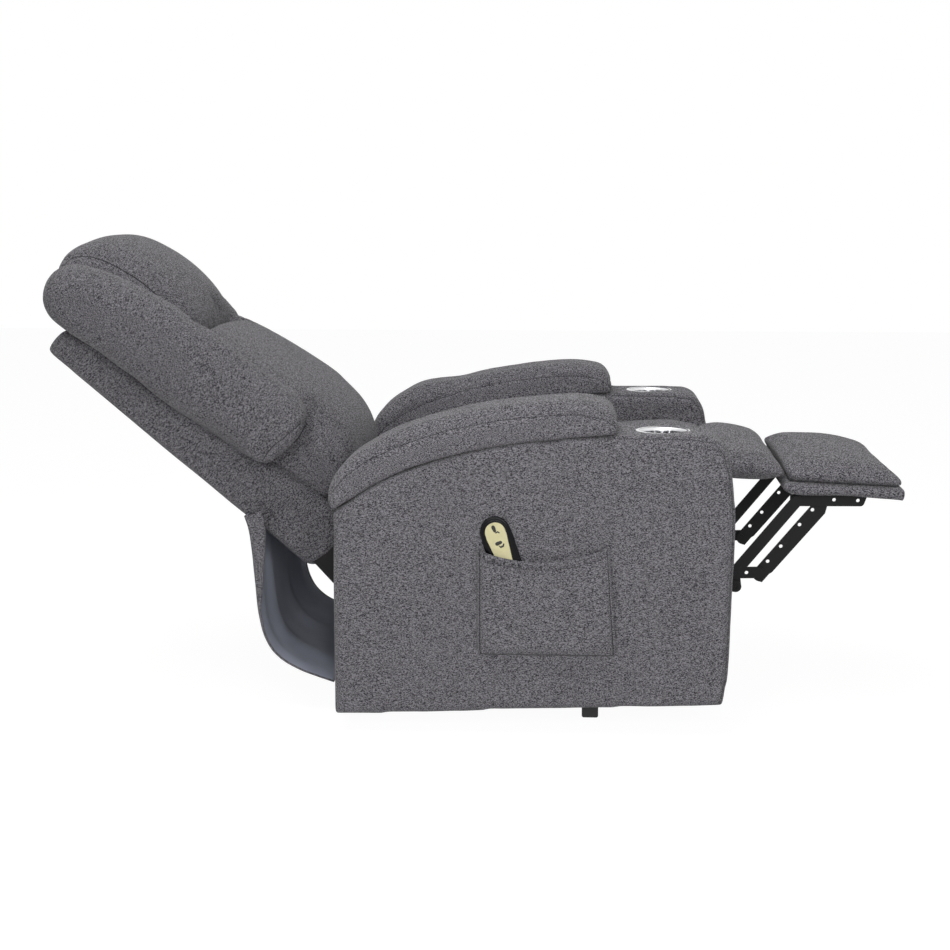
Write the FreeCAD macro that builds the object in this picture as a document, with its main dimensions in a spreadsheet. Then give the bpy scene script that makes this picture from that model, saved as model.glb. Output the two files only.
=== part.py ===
import FreeCAD, Part
import math
import os

# Lift recliner chair, shown fully reclined with the footrest out, in millimetres.
# +X is the way the sitter faces, +Y the sitter's left, +Z up, the floor is Z = 0.
# Side outlines are measured from the line through the two cup holders, the datum,
# which lies cup_x in front of the middle of the chair.

Vector = FreeCAD.Vector
Rotation = FreeCAD.Rotation
Placement = FreeCAD.Placement

doc = FreeCAD.newDocument("LiftRecliner")
sheet = doc.addObject("Spreadsheet::Sheet", "Sizes")

drivingSizes = [
    ("cup_x", 352, "datum line in front of the chair's middle"),
    ("arm_inner", 250, "middle of the chair to an arm's inner face"),
    ("arm_width", 170, "width of an arm"),
    ("arm_top", 551, "height of the cup holder deck"),
    ("arm_rear", 597, "rear face of the arm behind the datum"),
    ("arm_front", 125, "front face of the arm before the datum"),
    ("pad_height", 67, "thickness of the arm pad at its crown"),
    ("soft_gap", 12, "free space between a cushion and an arm"),
    ("back_slope", 40.7, "slope of the reclined back, degrees"),
    ("back_length", 612, "length of the back frame"),
    ("back_foot_x", 687, "lower rear corner of the back behind the datum"),
    ("back_foot_z", 293, "lower rear corner of the back above the floor"),
    ("recline_x", 500, "back pivot behind the datum"),
    ("recline_z", 260, "back pivot above the floor"),
    ("seat_front", 99.7, "front face of the seat cushion before the datum"),
    ("seat_rear", 430, "rear face of the seat cushion behind the datum"),
    ("seat_top", 525, "top of the seat cushion at its front"),
    ("seat_fall", 77, "how much lower the seat is at its rear"),
    ("foot_gap", 20, "free space between the footrest and an arm"),
    ("foot_length", 226, "length of the footrest board"),
    ("cup_radius", 52.5, "outer radius of a cup holder's rim"),
    ("cup_depth", 70, "depth of a cup holder"),
    ("wall", 2, "wall of the pressed and turned parts"),
    ("tube_high", 25, "height of the base tubes"),
    ("tube_wide", 28, "width of the base cross tubes"),
    ("tube_wall", 2, "wall of the steel tubes"),
    ("foot_lift", 5, "height of the base tubes above the floor"),
    ("base_rear", 555, "rear of the base behind the datum"),
    ("base_front", 28, "front of the base before the datum"),
    ("outrigger_x", 127, "wide cross tube behind the datum"),
    ("outrigger_half", 286, "half length of the wide cross tube"),
    ("link_width", 22, "width of the footrest links"),
    ("link_thick", 4, "thickness of the footrest links"),
    ("lift_width", 30, "width of the lift links"),
    ("lift_thick", 7, "thickness of the lift links"),
    ("rivet_radius", 4, "radius of the footrest rivets"),
    ("pivot_radius", 6, "radius of the lift pivots"),
    ("play", 0.15, "radial play of a pin in its hole"),
    ("layer_gap", 0.5, "gap between two links side by side"),
    ("handset_long", 165, "length of the handset"),
    ("handset_wide", 53, "width of the handset"),
    ("handset_thick", 11, "thickness of the handset shell"),
    ("pocket_depth", 13.5, "inner depth of the side pocket"),
    ("pocket_wall", 2.5, "thickness of the pocket's front"),
]

for row, (alias, number, note) in enumerate(drivingSizes, start=1):
    sheet.set(f"A{row}", note)
    sheet.set(f"B{row}", str(number))
    sheet.setAlias(f"B{row}", alias)
doc.recompute()
size = {alias: float(sheet.get(alias)) for alias, number, note in drivingSizes}

# Places of the pivots, as (x from the datum, z), in the reclined pose
liftFront = (9.6, 128.8)
liftChassis = (-269.3, 88.0)
controlFront = (-58.1, 146.5)
controlChassis = (-538.6, 108.8)
torquePoint = (-158.0, 107.0)
actuatorRear = (-520.0, 75.0)
actuatorFront = (34.6, 74.3)
upperPivot = (3.97, 290.0)
lowerPivot = (12.01, 260.16)
crossPivot = (147.0, 259.0)
tailPivot = (150.0, 234.18)
tipPivot = (194.0, 260.0)
bracketRear = (262.0, 400.5)
bracketFront = (
    bracketRear[0] + tipPivot[0] - crossPivot[0],
    bracketRear[1] + tipPivot[1] - crossPivot[1],
)
backPivot = (-size["recline_x"], size["recline_z"])
kneePivot = (size["seat_front"] + 18.3, 466.0)

# Layers of the linkages, as distances from the chair's middle plane
plateInner = size["arm_inner"] - 51
plateThick = 4.0
sideInner = size["arm_inner"] - 28
sideThick = 6.0
bracketPlate = 5.0
liftSpace = 2.0
shaftRadius = 7.0

seatHalf = size["arm_inner"] - size["soft_gap"]
backHalf = size["arm_inner"] - size["soft_gap"] - 2
sides = (("right", -1), ("left", 1))


def originPlane(body, role):
    for feature in body.Origin.OriginFeatures:
        if feature.Role == role:
            return feature


def newBody(label, x="0", y="0", z="0"):
    body = doc.addObject("PartDesign::Body", label)
    body.Label = label
    body.setExpression(".Placement.Base.x", x)
    body.setExpression(".Placement.Base.y", y)
    body.setExpression(".Placement.Base.z", z)
    return body


def newSketch(body, role="XZ_Plane", offset=None):
    sketch = body.newObject("Sketcher::SketchObject", body.Label + "_sketch")
    sketch.AttachmentSupport = [(originPlane(body, role), "")]
    sketch.MapMode = "FlatFace"
    if offset:
        sketch.setExpression(".AttachmentOffset.Base.z", offset)
    return sketch


def flat(point):
    return Vector(point[0], point[1], 0)


def roundedOutline(corners, radii):
    """Closed outline of lines, with a tangent arc at each corner that has a radius."""
    points = [flat(corner) for corner in corners]
    if not isinstance(radii, (list, tuple)):
        radii = [radii] * len(points)
    starts, ends, arcs = [], [], []
    for index, point in enumerate(points):
        before = (points[index - 1] - point).normalize()
        after = (points[(index + 1) % len(points)] - point).normalize()
        if radii[index] == 0:
            starts.append(point)
            ends.append(point)
            arcs.append(None)
            continue
        half = before.getAngle(after) / 2
        reach = radii[index] / math.tan(half)
        middle = (before + after).normalize()
        centre = point + middle * (radii[index] / math.sin(half))
        starts.append(point + before * reach)
        ends.append(point + after * reach)
        arcs.append(Part.Arc(starts[-1], centre - middle * radii[index], ends[-1]))
    geometry = []
    for index in range(len(points)):
        if arcs[index]:
            geometry.append(arcs[index])
        following = starts[(index + 1) % len(points)]
        if ends[index].distanceToPoint(following) > 1e-6:
            geometry.append(Part.LineSegment(ends[index], following))
    return geometry


def barOutline(points, half):
    """Outline of a flat bar that runs through the points, with round ends."""
    left, right = [], []
    path = [flat(point) for point in points]
    for index, point in enumerate(path):
        steps = []
        if index > 0:
            steps.append((point - path[index - 1]).normalize())
        if index < len(path) - 1:
            steps.append((path[index + 1] - point).normalize())
        along = sum(steps[1:], steps[0]).normalize()
        across = Vector(-along.y, along.x, 0)
        reach = half / math.cos(along.getAngle(steps[0]))
        left.append(point + across * reach)
        right.append(point - across * reach)
    first = (path[1] - path[0]).normalize()
    last = (path[-1] - path[-2]).normalize()
    geometry = [Part.LineSegment(left[i], left[i + 1]) for i in range(len(left) - 1)]
    geometry.append(Part.Arc(left[-1], path[-1] + last * half, right[-1]))
    geometry += [Part.LineSegment(right[i + 1], right[i]) for i in reversed(range(len(right) - 1))]
    geometry.append(Part.Arc(right[0], path[0] - first * half, left[0]))
    return geometry


def circle(centre, radius):
    return Part.Circle(flat(centre), Vector(0, 0, 1), radius)


def chain(points):
    """Straight lines from each point to the next."""
    return [Part.LineSegment(flat(a), flat(b)) for a, b in zip(points, points[1:])]


def pad(body, geometry, length, offset=None, role="XZ_Plane"):
    """Pad on both sides of the sketch plane; length is a formula of the sheet."""
    sketch = newSketch(body, role, offset)
    sketch.addGeometry(geometry)
    feature = body.newObject("PartDesign::Pad", body.Label + "_pad")
    feature.Profile = sketch
    feature.SideType = "Symmetric"
    feature.setExpression("Length", length)
    sketch.Visibility = False
    doc.recompute()
    return feature


def cutThrough(body, geometry, offset=None, role="XZ_Plane", length="500"):
    sketch = newSketch(body, role, offset)
    sketch.addGeometry(geometry)
    before = body.Shape.Volume
    feature = body.newObject("PartDesign::Pocket", body.Label + "_pocket")
    feature.Profile = sketch
    feature.SideType = "Symmetric"
    feature.setExpression("Length", length)
    doc.recompute()
    if body.Shape.Volume > before - 1e-3:
        raise ValueError(body.Label + ": the pocket cut nothing")
    return feature


def chamferEdges(body, width, wanted):
    """Chamfer the body's edges for which wanted(edge) holds."""
    base = body.Tip
    names = [
        f"Edge{number}"
        for number, edge in enumerate(base.Shape.Edges, start=1)
        if wanted(edge)
    ]
    feature = body.newObject("PartDesign::Chamfer", body.Label + "_chamfer")
    feature.Base = (base, names)
    feature.Size = width
    doc.recompute()
    return feature


def plate(label, geometry, thickness, layer):
    """A flat part along the chair's side, centred on the layer's distance."""
    body = newBody(label, "Sizes.cup_x", layer)
    pad(body, geometry, thickness)
    return body


def box(label, low, high):
    """A plain block between two corners, each a triple of formulas of the sheet."""
    block = doc.addObject("Part::Box", label)
    block.Label = label
    for name, least, most in zip(("Length", "Width", "Height"), low, high):
        block.setExpression(name, f"({most}) - ({least})")
    for axis, least in zip("xyz", low):
        block.setExpression(f".Placement.Base.{axis}", least)
    doc.recompute()
    return block


def pinAlongY(label, point, start, end, radius):
    """A round pin at (x, z) from the datum, between two distances along Y."""
    low, high = sorted((start, end))
    pin = doc.addObject("Part::Cylinder", label)
    pin.Radius = radius
    pin.Height = high - low
    pin.Placement = Placement(
        Vector(size["cup_x"] + point[0], high, point[1]), Rotation(Vector(1, 0, 0), 90)
    )
    return pin


def fuse(label, pieces):
    union = doc.addObject("Part::MultiFuse", label)
    union.Shapes = pieces
    union.Label = label
    doc.recompute()
    return union


def cut(label, base, tools):
    """The base with every tool taken away."""
    if len(tools) == 1:
        tool = tools[0]
    else:
        tool = fuse(label + "_tools", tools)
    result = doc.addObject("Part::Cut", label)
    result.Base = base
    result.Tool = tool
    result.Label = label
    doc.recompute()
    return result


def tube(label, low, high, axis):
    """A rectangular steel tube, open along the named axis."""
    outer = box(label + "_outer", low, high)
    innerLow, innerHigh = [], []
    for name, least, most in zip("xyz", low, high):
        inset = "-1" if name == axis else "Sizes.tube_wall"
        innerLow.append(f"({least}) + ({inset})")
        innerHigh.append(f"({most}) - ({inset})")
    inner = box(label + "_inner", innerLow, innerHigh)
    return cut(label, outer, [inner])


def softBlock(label, lower, upper, half, crown, pinch, y="0"):
    """A cushion that runs across the chair. In side view it lies between the straight
    stretches that it rests on, given as points from rear to front, and an upper outline,
    given as corners (x, z, radius) in the same order. It falls away to both sides."""
    body = newBody(label, "Sizes.cup_x", y)
    middle = (lower[0][0] + lower[-1][0]) / 2
    length = abs(lower[-1][0] - lower[0][0])
    sketches = []
    for station in (-1.0, -0.87, -0.5, 0.5, 0.87, 1.0):
        fall = 1 - math.sqrt(1 - (0.97 * station) ** 2)
        squeeze = 1 - 2 * pinch * fall / length
        corners = list(lower)
        radii = [0] * len(lower)
        for x, z, radius in reversed(upper):
            corners.append((middle + (x - middle) * squeeze, z - crown * fall))
            radii.append(radius)
        sketch = newSketch(body, offset=f"{station} * ({half})")
        sketch.addGeometry(roundedOutline(corners, radii))
        sketches.append(sketch)
    return loftThrough(body, sketches)


def loftThrough(body, sketches):
    loft = body.newObject("PartDesign::AdditiveLoft", body.Label + "_loft")
    loft.Profile = sketches[0]
    loft.Sections = sketches[1:]
    loft.Ruled = True
    doc.recompute()
    return body


def turnInto(item, x, y, z, turn):
    """Places a piece at three formulas of the sheet, turned out of its own axes."""
    item.Placement = Placement(Vector(0, 0, 0), turn)
    for axis, formula in zip("xyz", (x, y, z)):
        item.setExpression(f".Placement.Base.{axis}", formula)
    doc.recompute()
    return item


def layOnBack(item, y="0"):
    """Puts a piece drawn with x up the back and y out of it onto the reclined back."""
    turn = Rotation(Vector(0, 1, 0), size["back_slope"]) * Rotation(Vector(0, 0, 1), 180)
    return turnInto(item, "Sizes.cup_x - Sizes.back_foot_x", y, "Sizes.back_foot_z", turn)


# Base on the floor


def makeBase():
    parts = []
    railInner = sideInner - 16
    railOuter = railInner + 25
    low = "Sizes.foot_lift"
    middle = "Sizes.foot_lift + Sizes.tube_high"
    high = "Sizes.foot_lift + 2 * Sizes.tube_high"
    for name, side in sides:
        near, far = sorted((side * railInner, side * railOuter))
        parts.append(
            tube(
                "base_rail_" + name,
                ("Sizes.cup_x - Sizes.base_rear", f"{near}", middle),
                ("Sizes.cup_x + Sizes.base_front", f"{far}", high),
                "x",
            )
        )
    crossTubes = (
        ("base_tube_front", "Sizes.cup_x + Sizes.base_front - Sizes.tube_wide", f"{railOuter}"),
        ("base_tube_middle", "Sizes.cup_x - Sizes.outrigger_x - Sizes.tube_wide / 2", "Sizes.outrigger_half"),
        ("base_tube_rear", "Sizes.cup_x - Sizes.base_rear", f"{railOuter}"),
    )
    for label, start, half in crossTubes:
        bare = "_bar" if label != "base_tube_middle" else ""
        bar = tube(
            label + bare,
            (start, f"-({half})", low),
            (f"{start} + Sizes.tube_wide", half, middle),
            "y",
        )
        if label == "base_tube_middle":
            parts.append(bar)
            continue
        pieces = [bar]
        for name, side in sides:
            near, far = sorted((side * (railOuter - 62), side * (railOuter - 32)))
            pieces.append(
                box(
                    f"{label}_glide_{name}",
                    (f"{start} + 2", f"{near}", "0"),
                    (f"{start} + Sizes.tube_wide - 2", f"{far}", low),
                )
            )
        if label == "base_tube_rear":
            for name, side in sides:
                near, far = sorted((side * 11, side * 15))
                ear = plate(
                    f"actuator_ear_{name}",
                    roundedOutline(
                        [
                            (-size["base_rear"], size["foot_lift"] + size["tube_high"]),
                            (-size["base_rear"] + 28, size["foot_lift"] + size["tube_high"]),
                            (actuatorRear[0] + 12, actuatorRear[1] - 8),
                            (actuatorRear[0] + 12, actuatorRear[1] + 12),
                            (actuatorRear[0] - 14, actuatorRear[1] + 12),
                        ],
                        [0, 0, 0, 12, 0],
                    ),
                    "4",
                    f"{(near + far) / 2}",
                )
                pieces.append(ear)
            pieces.append(pinAlongY("actuator_rear_pin", actuatorRear, -16, 16, size["pivot_radius"]))
        parts.append(fuse(label, pieces))
    for name, side in sides:
        parts.append(makeEndCap("end_cap_" + name, side))
        parts.append(makeTower("lift_tower_" + name, side))
    return parts


def makeEndCap(label, side):
    """Black moulded cap with its own foot, on the end of the wide cross tube."""
    body = newBody(label, "Sizes.cup_x - Sizes.outrigger_x", f"{side} * (Sizes.outrigger_half + 7)")
    wide = size["tube_wide"] / 2 + 1.5
    high = size["foot_lift"] + size["tube_high"] + 1.5
    corners = [(-wide, 0), (wide, 0), (wide, high), (-wide, high)]
    pad(body, roundedOutline(corners, [4, 4, 8, 8]), "14")
    return body


def makeTower(label, side):
    """Upright plate on the base rail with the front pivots of both lift links."""
    floor = size["foot_lift"] + 2 * size["tube_high"]
    centre = side * (sideInner + sideThick / 2)
    corners = [
        (-96, floor),
        (26, floor),
        (liftFront[0] + 19, liftFront[1] + 16),
        (controlFront[0] + 22, controlFront[1] + 19),
        (controlFront[0] - 20, controlFront[1] + 19),
    ]
    body = plate(label + "_plate", roundedOutline(corners, [0, 0, 14, 14, 14]), f"{sideThick}", f"{centre}")
    inner = side * (sideInner - liftSpace - size["lift_thick"] - 1)
    outer = side * (sideInner + sideThick + liftSpace + size["lift_thick"] + 1)
    front = pinAlongY(label + "_front_pin", liftFront, inner, centre, size["pivot_radius"])
    rear = pinAlongY(label + "_rear_pin", controlFront, centre, outer, size["pivot_radius"])
    return fuse(label, [body, front, rear])


# Lift links, torque tube and actuator


def makeLift():
    parts = []
    hole = size["pivot_radius"] + size["play"]
    innerLayer = sideInner - liftSpace - size["lift_thick"] / 2
    outerLayer = sideInner + sideThick + liftSpace + size["lift_thick"] / 2
    for name, side in sides:
        arm = plate(
            "lift_arm_" + name,
            barOutline([liftFront, liftChassis], size["lift_width"] / 2)
            + [circle(liftFront, hole), circle(liftChassis, hole)],
            "Sizes.lift_thick",
            f"{side * innerLayer}",
        )
        link = plate(
            "control_link_" + name,
            barOutline([controlFront, controlChassis], size["lift_width"] / 2)
            + [circle(controlFront, hole), circle(controlChassis, hole + 0.35)],
            "Sizes.lift_thick",
            f"{side * outerLayer}",
        )
        parts += [arm, link]
    reach = sideInner - liftSpace - size["lift_thick"]
    bar = pinAlongY("torque_tube_bar", torquePoint, -reach, reach, 12.5)
    pieces = [bar]
    for name, side in sides:
        lever = plate(
            f"torque_tube_lever_{name}",
            barOutline([torquePoint, actuatorFront], 12),
            "4",
            f"{side * 12.5}",
        )
        pieces.append(lever)
    pieces.append(pinAlongY("torque_tube_pin", actuatorFront, -14.5, 14.5, 5))
    parts.append(fuse("torque_tube", pieces))
    parts += makeActuator()
    return parts


def makeActuator():
    """Electric linear actuator: motor, gearbox and tube, and the rod that slides in it."""
    rise = actuatorFront[1] - actuatorRear[1]
    run = actuatorFront[0] - actuatorRear[0]
    span = math.hypot(run, rise)
    turn = Rotation(Vector(0, 1, 0), -math.degrees(math.atan2(rise, run)))
    housing = newBody("actuator_housing")
    gearbox = roundedOutline([(-12, -14), (34, -19), (84, -19), (84, 19), (34, 19), (-12, 14)], [8, 0, 0, 0, 0, 8])
    pad(housing, gearbox + [circle((0, 0), size["pivot_radius"] + size["play"])], "20")
    sketch = newSketch(housing, "YZ_Plane", "35")
    sketch.addGeometry([circle((0, 0), 16)])
    barrel = housing.newObject("PartDesign::Pad", "actuator_barrel")
    barrel.Profile = sketch
    barrel.Length = 300
    doc.recompute()
    sketch = newSketch(housing, "XZ_Plane")
    sketch.addGeometry(roundedOutline([(36, -9), (82, -9), (82, 19), (36, 19)], 0))
    motor = housing.newObject("PartDesign::Pad", "actuator_motor")
    motor.Profile = sketch
    motor.Length = 120
    doc.recompute()
    before = housing.Shape.Volume
    sketch = newSketch(housing, "YZ_Plane", "140")
    sketch.addGeometry([circle((0, 0), 9.3)])
    bore = housing.newObject("PartDesign::Pocket", "actuator_bore")
    bore.Profile = sketch
    bore.Length = 220
    bore.Reversed = True
    doc.recompute()
    if housing.Shape.Volume > before - 1000:
        raise ValueError("actuator bore cut nothing")
    rod = newBody("actuator_rod")
    sketch = newSketch(rod, "YZ_Plane", "200")
    sketch.addGeometry([circle((0, 0), 9)])
    shaft = rod.newObject("PartDesign::Pad", "actuator_shaft")
    shaft.Profile = sketch
    shaft.Length = span - 18 - 200
    doc.recompute()
    slot = barOutline([(span, -5.2), (span, 5.2)], 5.6)
    eye = roundedOutline([(span - 24, -19), (span + 13, -19), (span + 13, 19), (span - 24, 19)], 8)
    pad(rod, eye + slot, "16")
    for item in (housing, rod):
        turnInto(item, f"Sizes.cup_x + {actuatorRear[0]}", "0", f"{actuatorRear[1]}", turn)
    return [housing, rod]


# Chassis: what the lift raises


def makeChassis():
    parts = []
    for name, side in sides:
        parts.append(makeSidePlate("chassis_side_" + name, side))
        parts.append(makeMechanismPlate("seat_plate_" + name, side))
    for label, start in (("chassis_rail_front", -95), ("chassis_rail_rear", -440)):
        parts.append(
            tube(
                label,
                (f"Sizes.cup_x + {start}", "-Sizes.arm_inner + 5", "200"),
                (f"Sizes.cup_x + {start + 25}", "Sizes.arm_inner - 5", "225"),
                "y",
            )
        )
    return parts


def makeSidePlate(label, side):
    """Pressed side plate with a flange that carries the arm, and the back's pivot."""
    centre = side * (sideInner + sideThick / 2)
    corners = [
        (-562, 84),
        (-330, 66),
        (liftChassis[0] + 24, 66),
        (-236, 112),
        (-204, 178),
        (60, 178),
        (60, 200),
        (backPivot[0] + 42, 200),
        (backPivot[0] + 24, backPivot[1] + 26),
        (backPivot[0] - 26, backPivot[1] + 26),
        (backPivot[0] - 62, 196),
    ]
    radii = [14, 0, 16, 20, 0, 0, 0, 0, 20, 20, 0]
    body = plate(label + "_plate", roundedOutline(corners, radii), f"{sideThick}", f"{centre}")
    near, far = sorted((side * (sideInner + 1), side * size["arm_inner"]))
    flange = box(
        label + "_flange",
        ("Sizes.cup_x - 556", f"{near}", "196"),
        ("Sizes.cup_x + 58", f"{far}", "200"),
    )
    inner = side * (sideInner - liftSpace - size["lift_thick"] - 1)
    outer = side * (sideInner + sideThick + liftSpace + size["lift_thick"] + 1)
    backEnd = side * (size["arm_inner"] - size["soft_gap"] - 2 + bracketPlate + 1)
    pins = [
        pinAlongY(label + "_arm_pin", liftChassis, inner, centre, size["pivot_radius"]),
        pinAlongY(label + "_link_pin", controlChassis, centre, outer, size["pivot_radius"]),
        pinAlongY(label + "_back_pin", backPivot, centre, backEnd, size["pivot_radius"] + 2),
    ]
    return fuse(label, [body, flange] + pins)


def makeMechanismPlate(label, side):
    """Seat side plate: the bearing of the footrest shaft and the rear link's pivot."""
    centre = side * (plateInner + plateThick / 2)
    corners = [(-500, 225), (-20, 225), (30, 240), (30, seatLine(30)), (-500, seatLine(-500))]
    bearing = circle(upperPivot, shaftRadius + size["play"])
    body = plate(
        label + "_plate",
        roundedOutline(corners, [0, 0, 20, 0, 0]) + [bearing],
        f"{plateThick}",
        f"{centre}",
    )
    step = size["link_thick"] + size["layer_gap"]
    lower = pinAlongY(
        label + "_lower_rivet",
        lowerPivot,
        side * (plateInner - step + 0.2),
        centre,
        size["rivet_radius"],
    )
    return fuse(label, [body, lower])


# Arms


def armSeam():
    rear = -size["arm_rear"]
    top = size["arm_top"]
    return [
        (rear, top - 138),
        (-530, top - 95),
        (-454, top - 57),
        (-340, top - 25),
        (-200, top - 7),
        (-85, top),
    ]


def makeArm(name, side):
    """Upholstered arm with a deck for the cup holder at its front."""
    rear = -size["arm_rear"]
    front = size["arm_front"]
    top = size["arm_top"]
    body = newBody("arm_" + name, "Sizes.cup_x", f"{side} * (Sizes.arm_inner + Sizes.arm_width / 2)")
    lower = (front - 7, 65)
    nose = Vector(front - 14, top, 0)
    outline = [
        Part.LineSegment(Vector(rear, 40, 0), flat(lower)),
        Part.LineSegment(flat(lower), Vector(front, top - 160, 0)),
        Part.Arc(Vector(front, top - 160, 0), Vector(front - 5, top - 90, 0), Vector(front - 14, top - 34, 0)),
        Part.Arc(Vector(front - 14, top - 34, 0), Vector(front - 23, top - 8, 0), Vector(nose.x - 33, top, 0)),
        Part.LineSegment(Vector(nose.x - 33, top, 0), Vector(-85, top, 0)),
        Part.LineSegment(flat(armSeam()[0]), Vector(rear, 40, 0)),
    ]
    pad(body, outline + chain(armSeam()), "Sizes.arm_width")
    cavity = circle((0, 0), size["cup_radius"] - 9.5)
    cutThrough(body, [cavity], f"{top}", "XY_Plane", "2 * (Sizes.cup_depth + 3)")
    return body


def makeArmPad(name, side):
    """Padded arm top, crowned, with its side rolled a little over the arm's faces."""
    top = size["arm_top"]
    rear = -size["arm_rear"]
    crown = top + size["pad_height"]
    upper = [
        (rear - 12, top - 112, 0),
        (rear - 4, top - 70, 0),
        (rear + 37, top - 31, 0),
        (-482, top + 9, 0),
        (-388, top + 38, 0),
        (-297, crown - 12, 0),
        (-200, crown, 0),
        (-125, crown - 4, 0),
        (-94, crown - 20, 0),
        (-83, crown - 34, 0),
    ]
    return softBlock(
        "arm_pad_" + name,
        [(x, z + 0.3) for x, z in armSeam()],
        upper,
        "Sizes.arm_width / 2 + 3",
        38,
        0,
        f"{side} * (Sizes.arm_inner + Sizes.arm_width / 2)",
    )


def makeCupHolder(name, side):
    body = newBody(
        "cup_holder_" + name,
        "Sizes.cup_x",
        f"{side} * (Sizes.arm_inner + Sizes.arm_width / 2)",
        "Sizes.arm_top",
    )
    rim = size["cup_radius"]
    outer = rim - 10
    inner = outer - size["wall"]
    depth = size["cup_depth"]
    profile = [
        Vector(0, -depth, 0),
        Vector(outer, -depth, 0),
        Vector(outer, 0, 0),
        Vector(rim, 0, 0),
        Vector(inner, 4, 0),
        Vector(inner, size["wall"] - depth, 0),
        Vector(0, size["wall"] - depth, 0),
    ]
    sketch = newSketch(body)
    sketch.addGeometry([Part.LineSegment(profile[i - 1], profile[i]) for i in range(len(profile))])
    turned = body.newObject("PartDesign::Revolution", body.Label + "_turned")
    turned.Profile = sketch
    turned.ReferenceAxis = (sketch, ["V_Axis"])
    turned.Angle = 360
    doc.recompute()
    return body


def makeSidePocket():
    """Fabric pocket on the right arm's outer face, open at its top."""
    deep = size["pocket_depth"] + size["pocket_wall"]
    outline = [(-328, 153), (-88, 153), (-88, 350), (-328, 338)]
    body = newBody("side_pocket", "Sizes.cup_x", f"-(Sizes.arm_inner + Sizes.arm_width) - {deep / 2}")
    pad(body, roundedOutline(outline, [26, 26, 3, 3]), f"{deep}")
    inside = [(-325, 156), (-91, 156), (-91, 380), (-325, 380)]
    tool = newSketch(body, offset=f"{-deep / 2}")
    tool.addGeometry(roundedOutline(inside, [23, 23, 0, 0]))
    hollow = body.newObject("PartDesign::Pocket", "side_pocket_hollow")
    hollow.Profile = tool
    hollow.Reversed = True
    hollow.setExpression("Length", "Sizes.pocket_depth")
    before = body.Shape.Volume
    doc.recompute()
    if body.Shape.Volume > before - 1000:
        raise ValueError("the side pocket isn't hollow")
    return body


# Handset


def makeHandset():
    wide = size["handset_wide"] / 2
    long = size["handset_long"]
    thick = size["handset_thick"]
    lean = Rotation(Vector(0, 1, 0), -19)
    behind = "-(Sizes.arm_inner + Sizes.arm_width) - 0.4"
    shell = newBody("handset_shell")
    outline = roundedOutline([(-wide + 3, 0), (wide - 3, 0), (wide, long), (-wide, long)], [10, 10, 22, 22])
    pad(shell, outline, "Sizes.handset_thick", "Sizes.handset_thick / 2")
    chamferEdges(shell, 1.5, lambda edge: edge.CenterOfMass.y < -thick + 0.01)
    recess = []
    for name, (x, z) in keyCentres(long):
        recess += keyOutline(x, z, 0.3)
    cutThrough(shell, recess, "Sizes.handset_thick", length="3")
    parts = [shell]
    for name, (x, z) in keyCentres(long):
        key = newBody("handset_key_" + name)
        pad(key, keyOutline(x, z, 0), "1.4", "Sizes.handset_thick + 0.4")
        parts.append(key)
    for item in parts:
        turnInto(item, "Sizes.cup_x - 252", behind, "249", lean)
    return parts


def keyCentres(long):
    return (("up", (0, long - 26)), ("down", (0, long - 52)))


def keyOutline(x, z, clearance):
    half = 12 + clearance
    rise = 9 + clearance
    corners = [(x - half, z - rise), (x + half, z - rise), (x + half, z + rise), (x - half, z + rise)]
    return roundedOutline(corners, 5 + clearance)


# Seat


def seatLine(x):
    """Height of the seat rails' underside, which falls towards the rear."""
    return 312 + 0.08 * (x + 430)


def makeSeat():
    parts = []
    railHigh = 38
    for name, side in sides:
        near, far = sorted((side * (plateInner - 4), side * (seatHalf - 8)))
        outline = [
            (-430, seatLine(-430)),
            (70, seatLine(70)),
            (70, seatLine(70) + railHigh),
            (-430, seatLine(-430) + railHigh),
        ]
        body = newBody("seat_rail_" + name, "Sizes.cup_x", f"{(near + far) / 2}")
        pad(body, roundedOutline(outline, [0, 0, 4, 4]), f"{far - near}")
        parts.append(body)
    for label, start, base in (("seat_rail_front", 45, 354), ("seat_rail_back", -430, 313)):
        parts.append(
            box(
                label,
                (f"Sizes.cup_x + {start}", f"{-(plateInner - 4)}", f"{base}"),
                (f"Sizes.cup_x + {start + 24}", f"{plateInner - 4}", f"{base + 34}"),
            )
        )
    parts.append(makeWebbing())
    front = size["seat_front"]
    rear = -size["seat_rear"]
    top = size["seat_top"]
    fall = size["seat_fall"]
    lower = [(rear, 352), (front, 395.5)]
    upper = [(rear, top - fall - 2, 16), (20, top + 3, 120), (front, top - 1, 10)]
    parts.append(softBlock("seat_cushion", lower, upper, f"{seatHalf}", 26, 0))
    parts.append(makeKneeRoll())
    return parts


def makeWebbing():
    """Elastic straps that carry the seat cushion, from the back rail to the front rail."""
    straps = []
    for number in range(5):
        y = (number - 2) * (plateInner - 51) / 2
        strap = newBody(f"seat_strap_{number + 1}", "Sizes.cup_x", f"{y}")
        pad(strap, roundedOutline([(-430, 347.2), (69, 390.3), (69, 392.8), (-430, 349.7)], 0), "50")
        straps.append(strap)
    return fuse("seat_webbing", straps)


def makeKneeRoll():
    """Padded roll that bridges the seat and the footrest and folds down with it."""
    x, z = kneePivot
    body = newBody("knee_roll", "Sizes.cup_x")
    sketches = []
    for station in (-1.0, -0.9, -0.6, 0.6, 0.9, 1.0):
        fall = 1 - math.sqrt(1 - (0.96 * station) ** 2)
        top = z + 58 - 16 * fall
        corners = [
            (x - 18, z - 18, 18),
            (x + 101, z - 18, 0),
            (x + 101, top - 31, 16),
            (x + 10, top - 1, 90),
            (x - 18, top, 0),
        ]
        sketch = newSketch(body, offset=f"{station} * ({seatHalf})")
        outline = roundedOutline([corner[:2] for corner in corners], [corner[2] for corner in corners])
        sketch.addGeometry(outline)
        sketches.append(sketch)
    return loftThrough(body, sketches)


# Back


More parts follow.
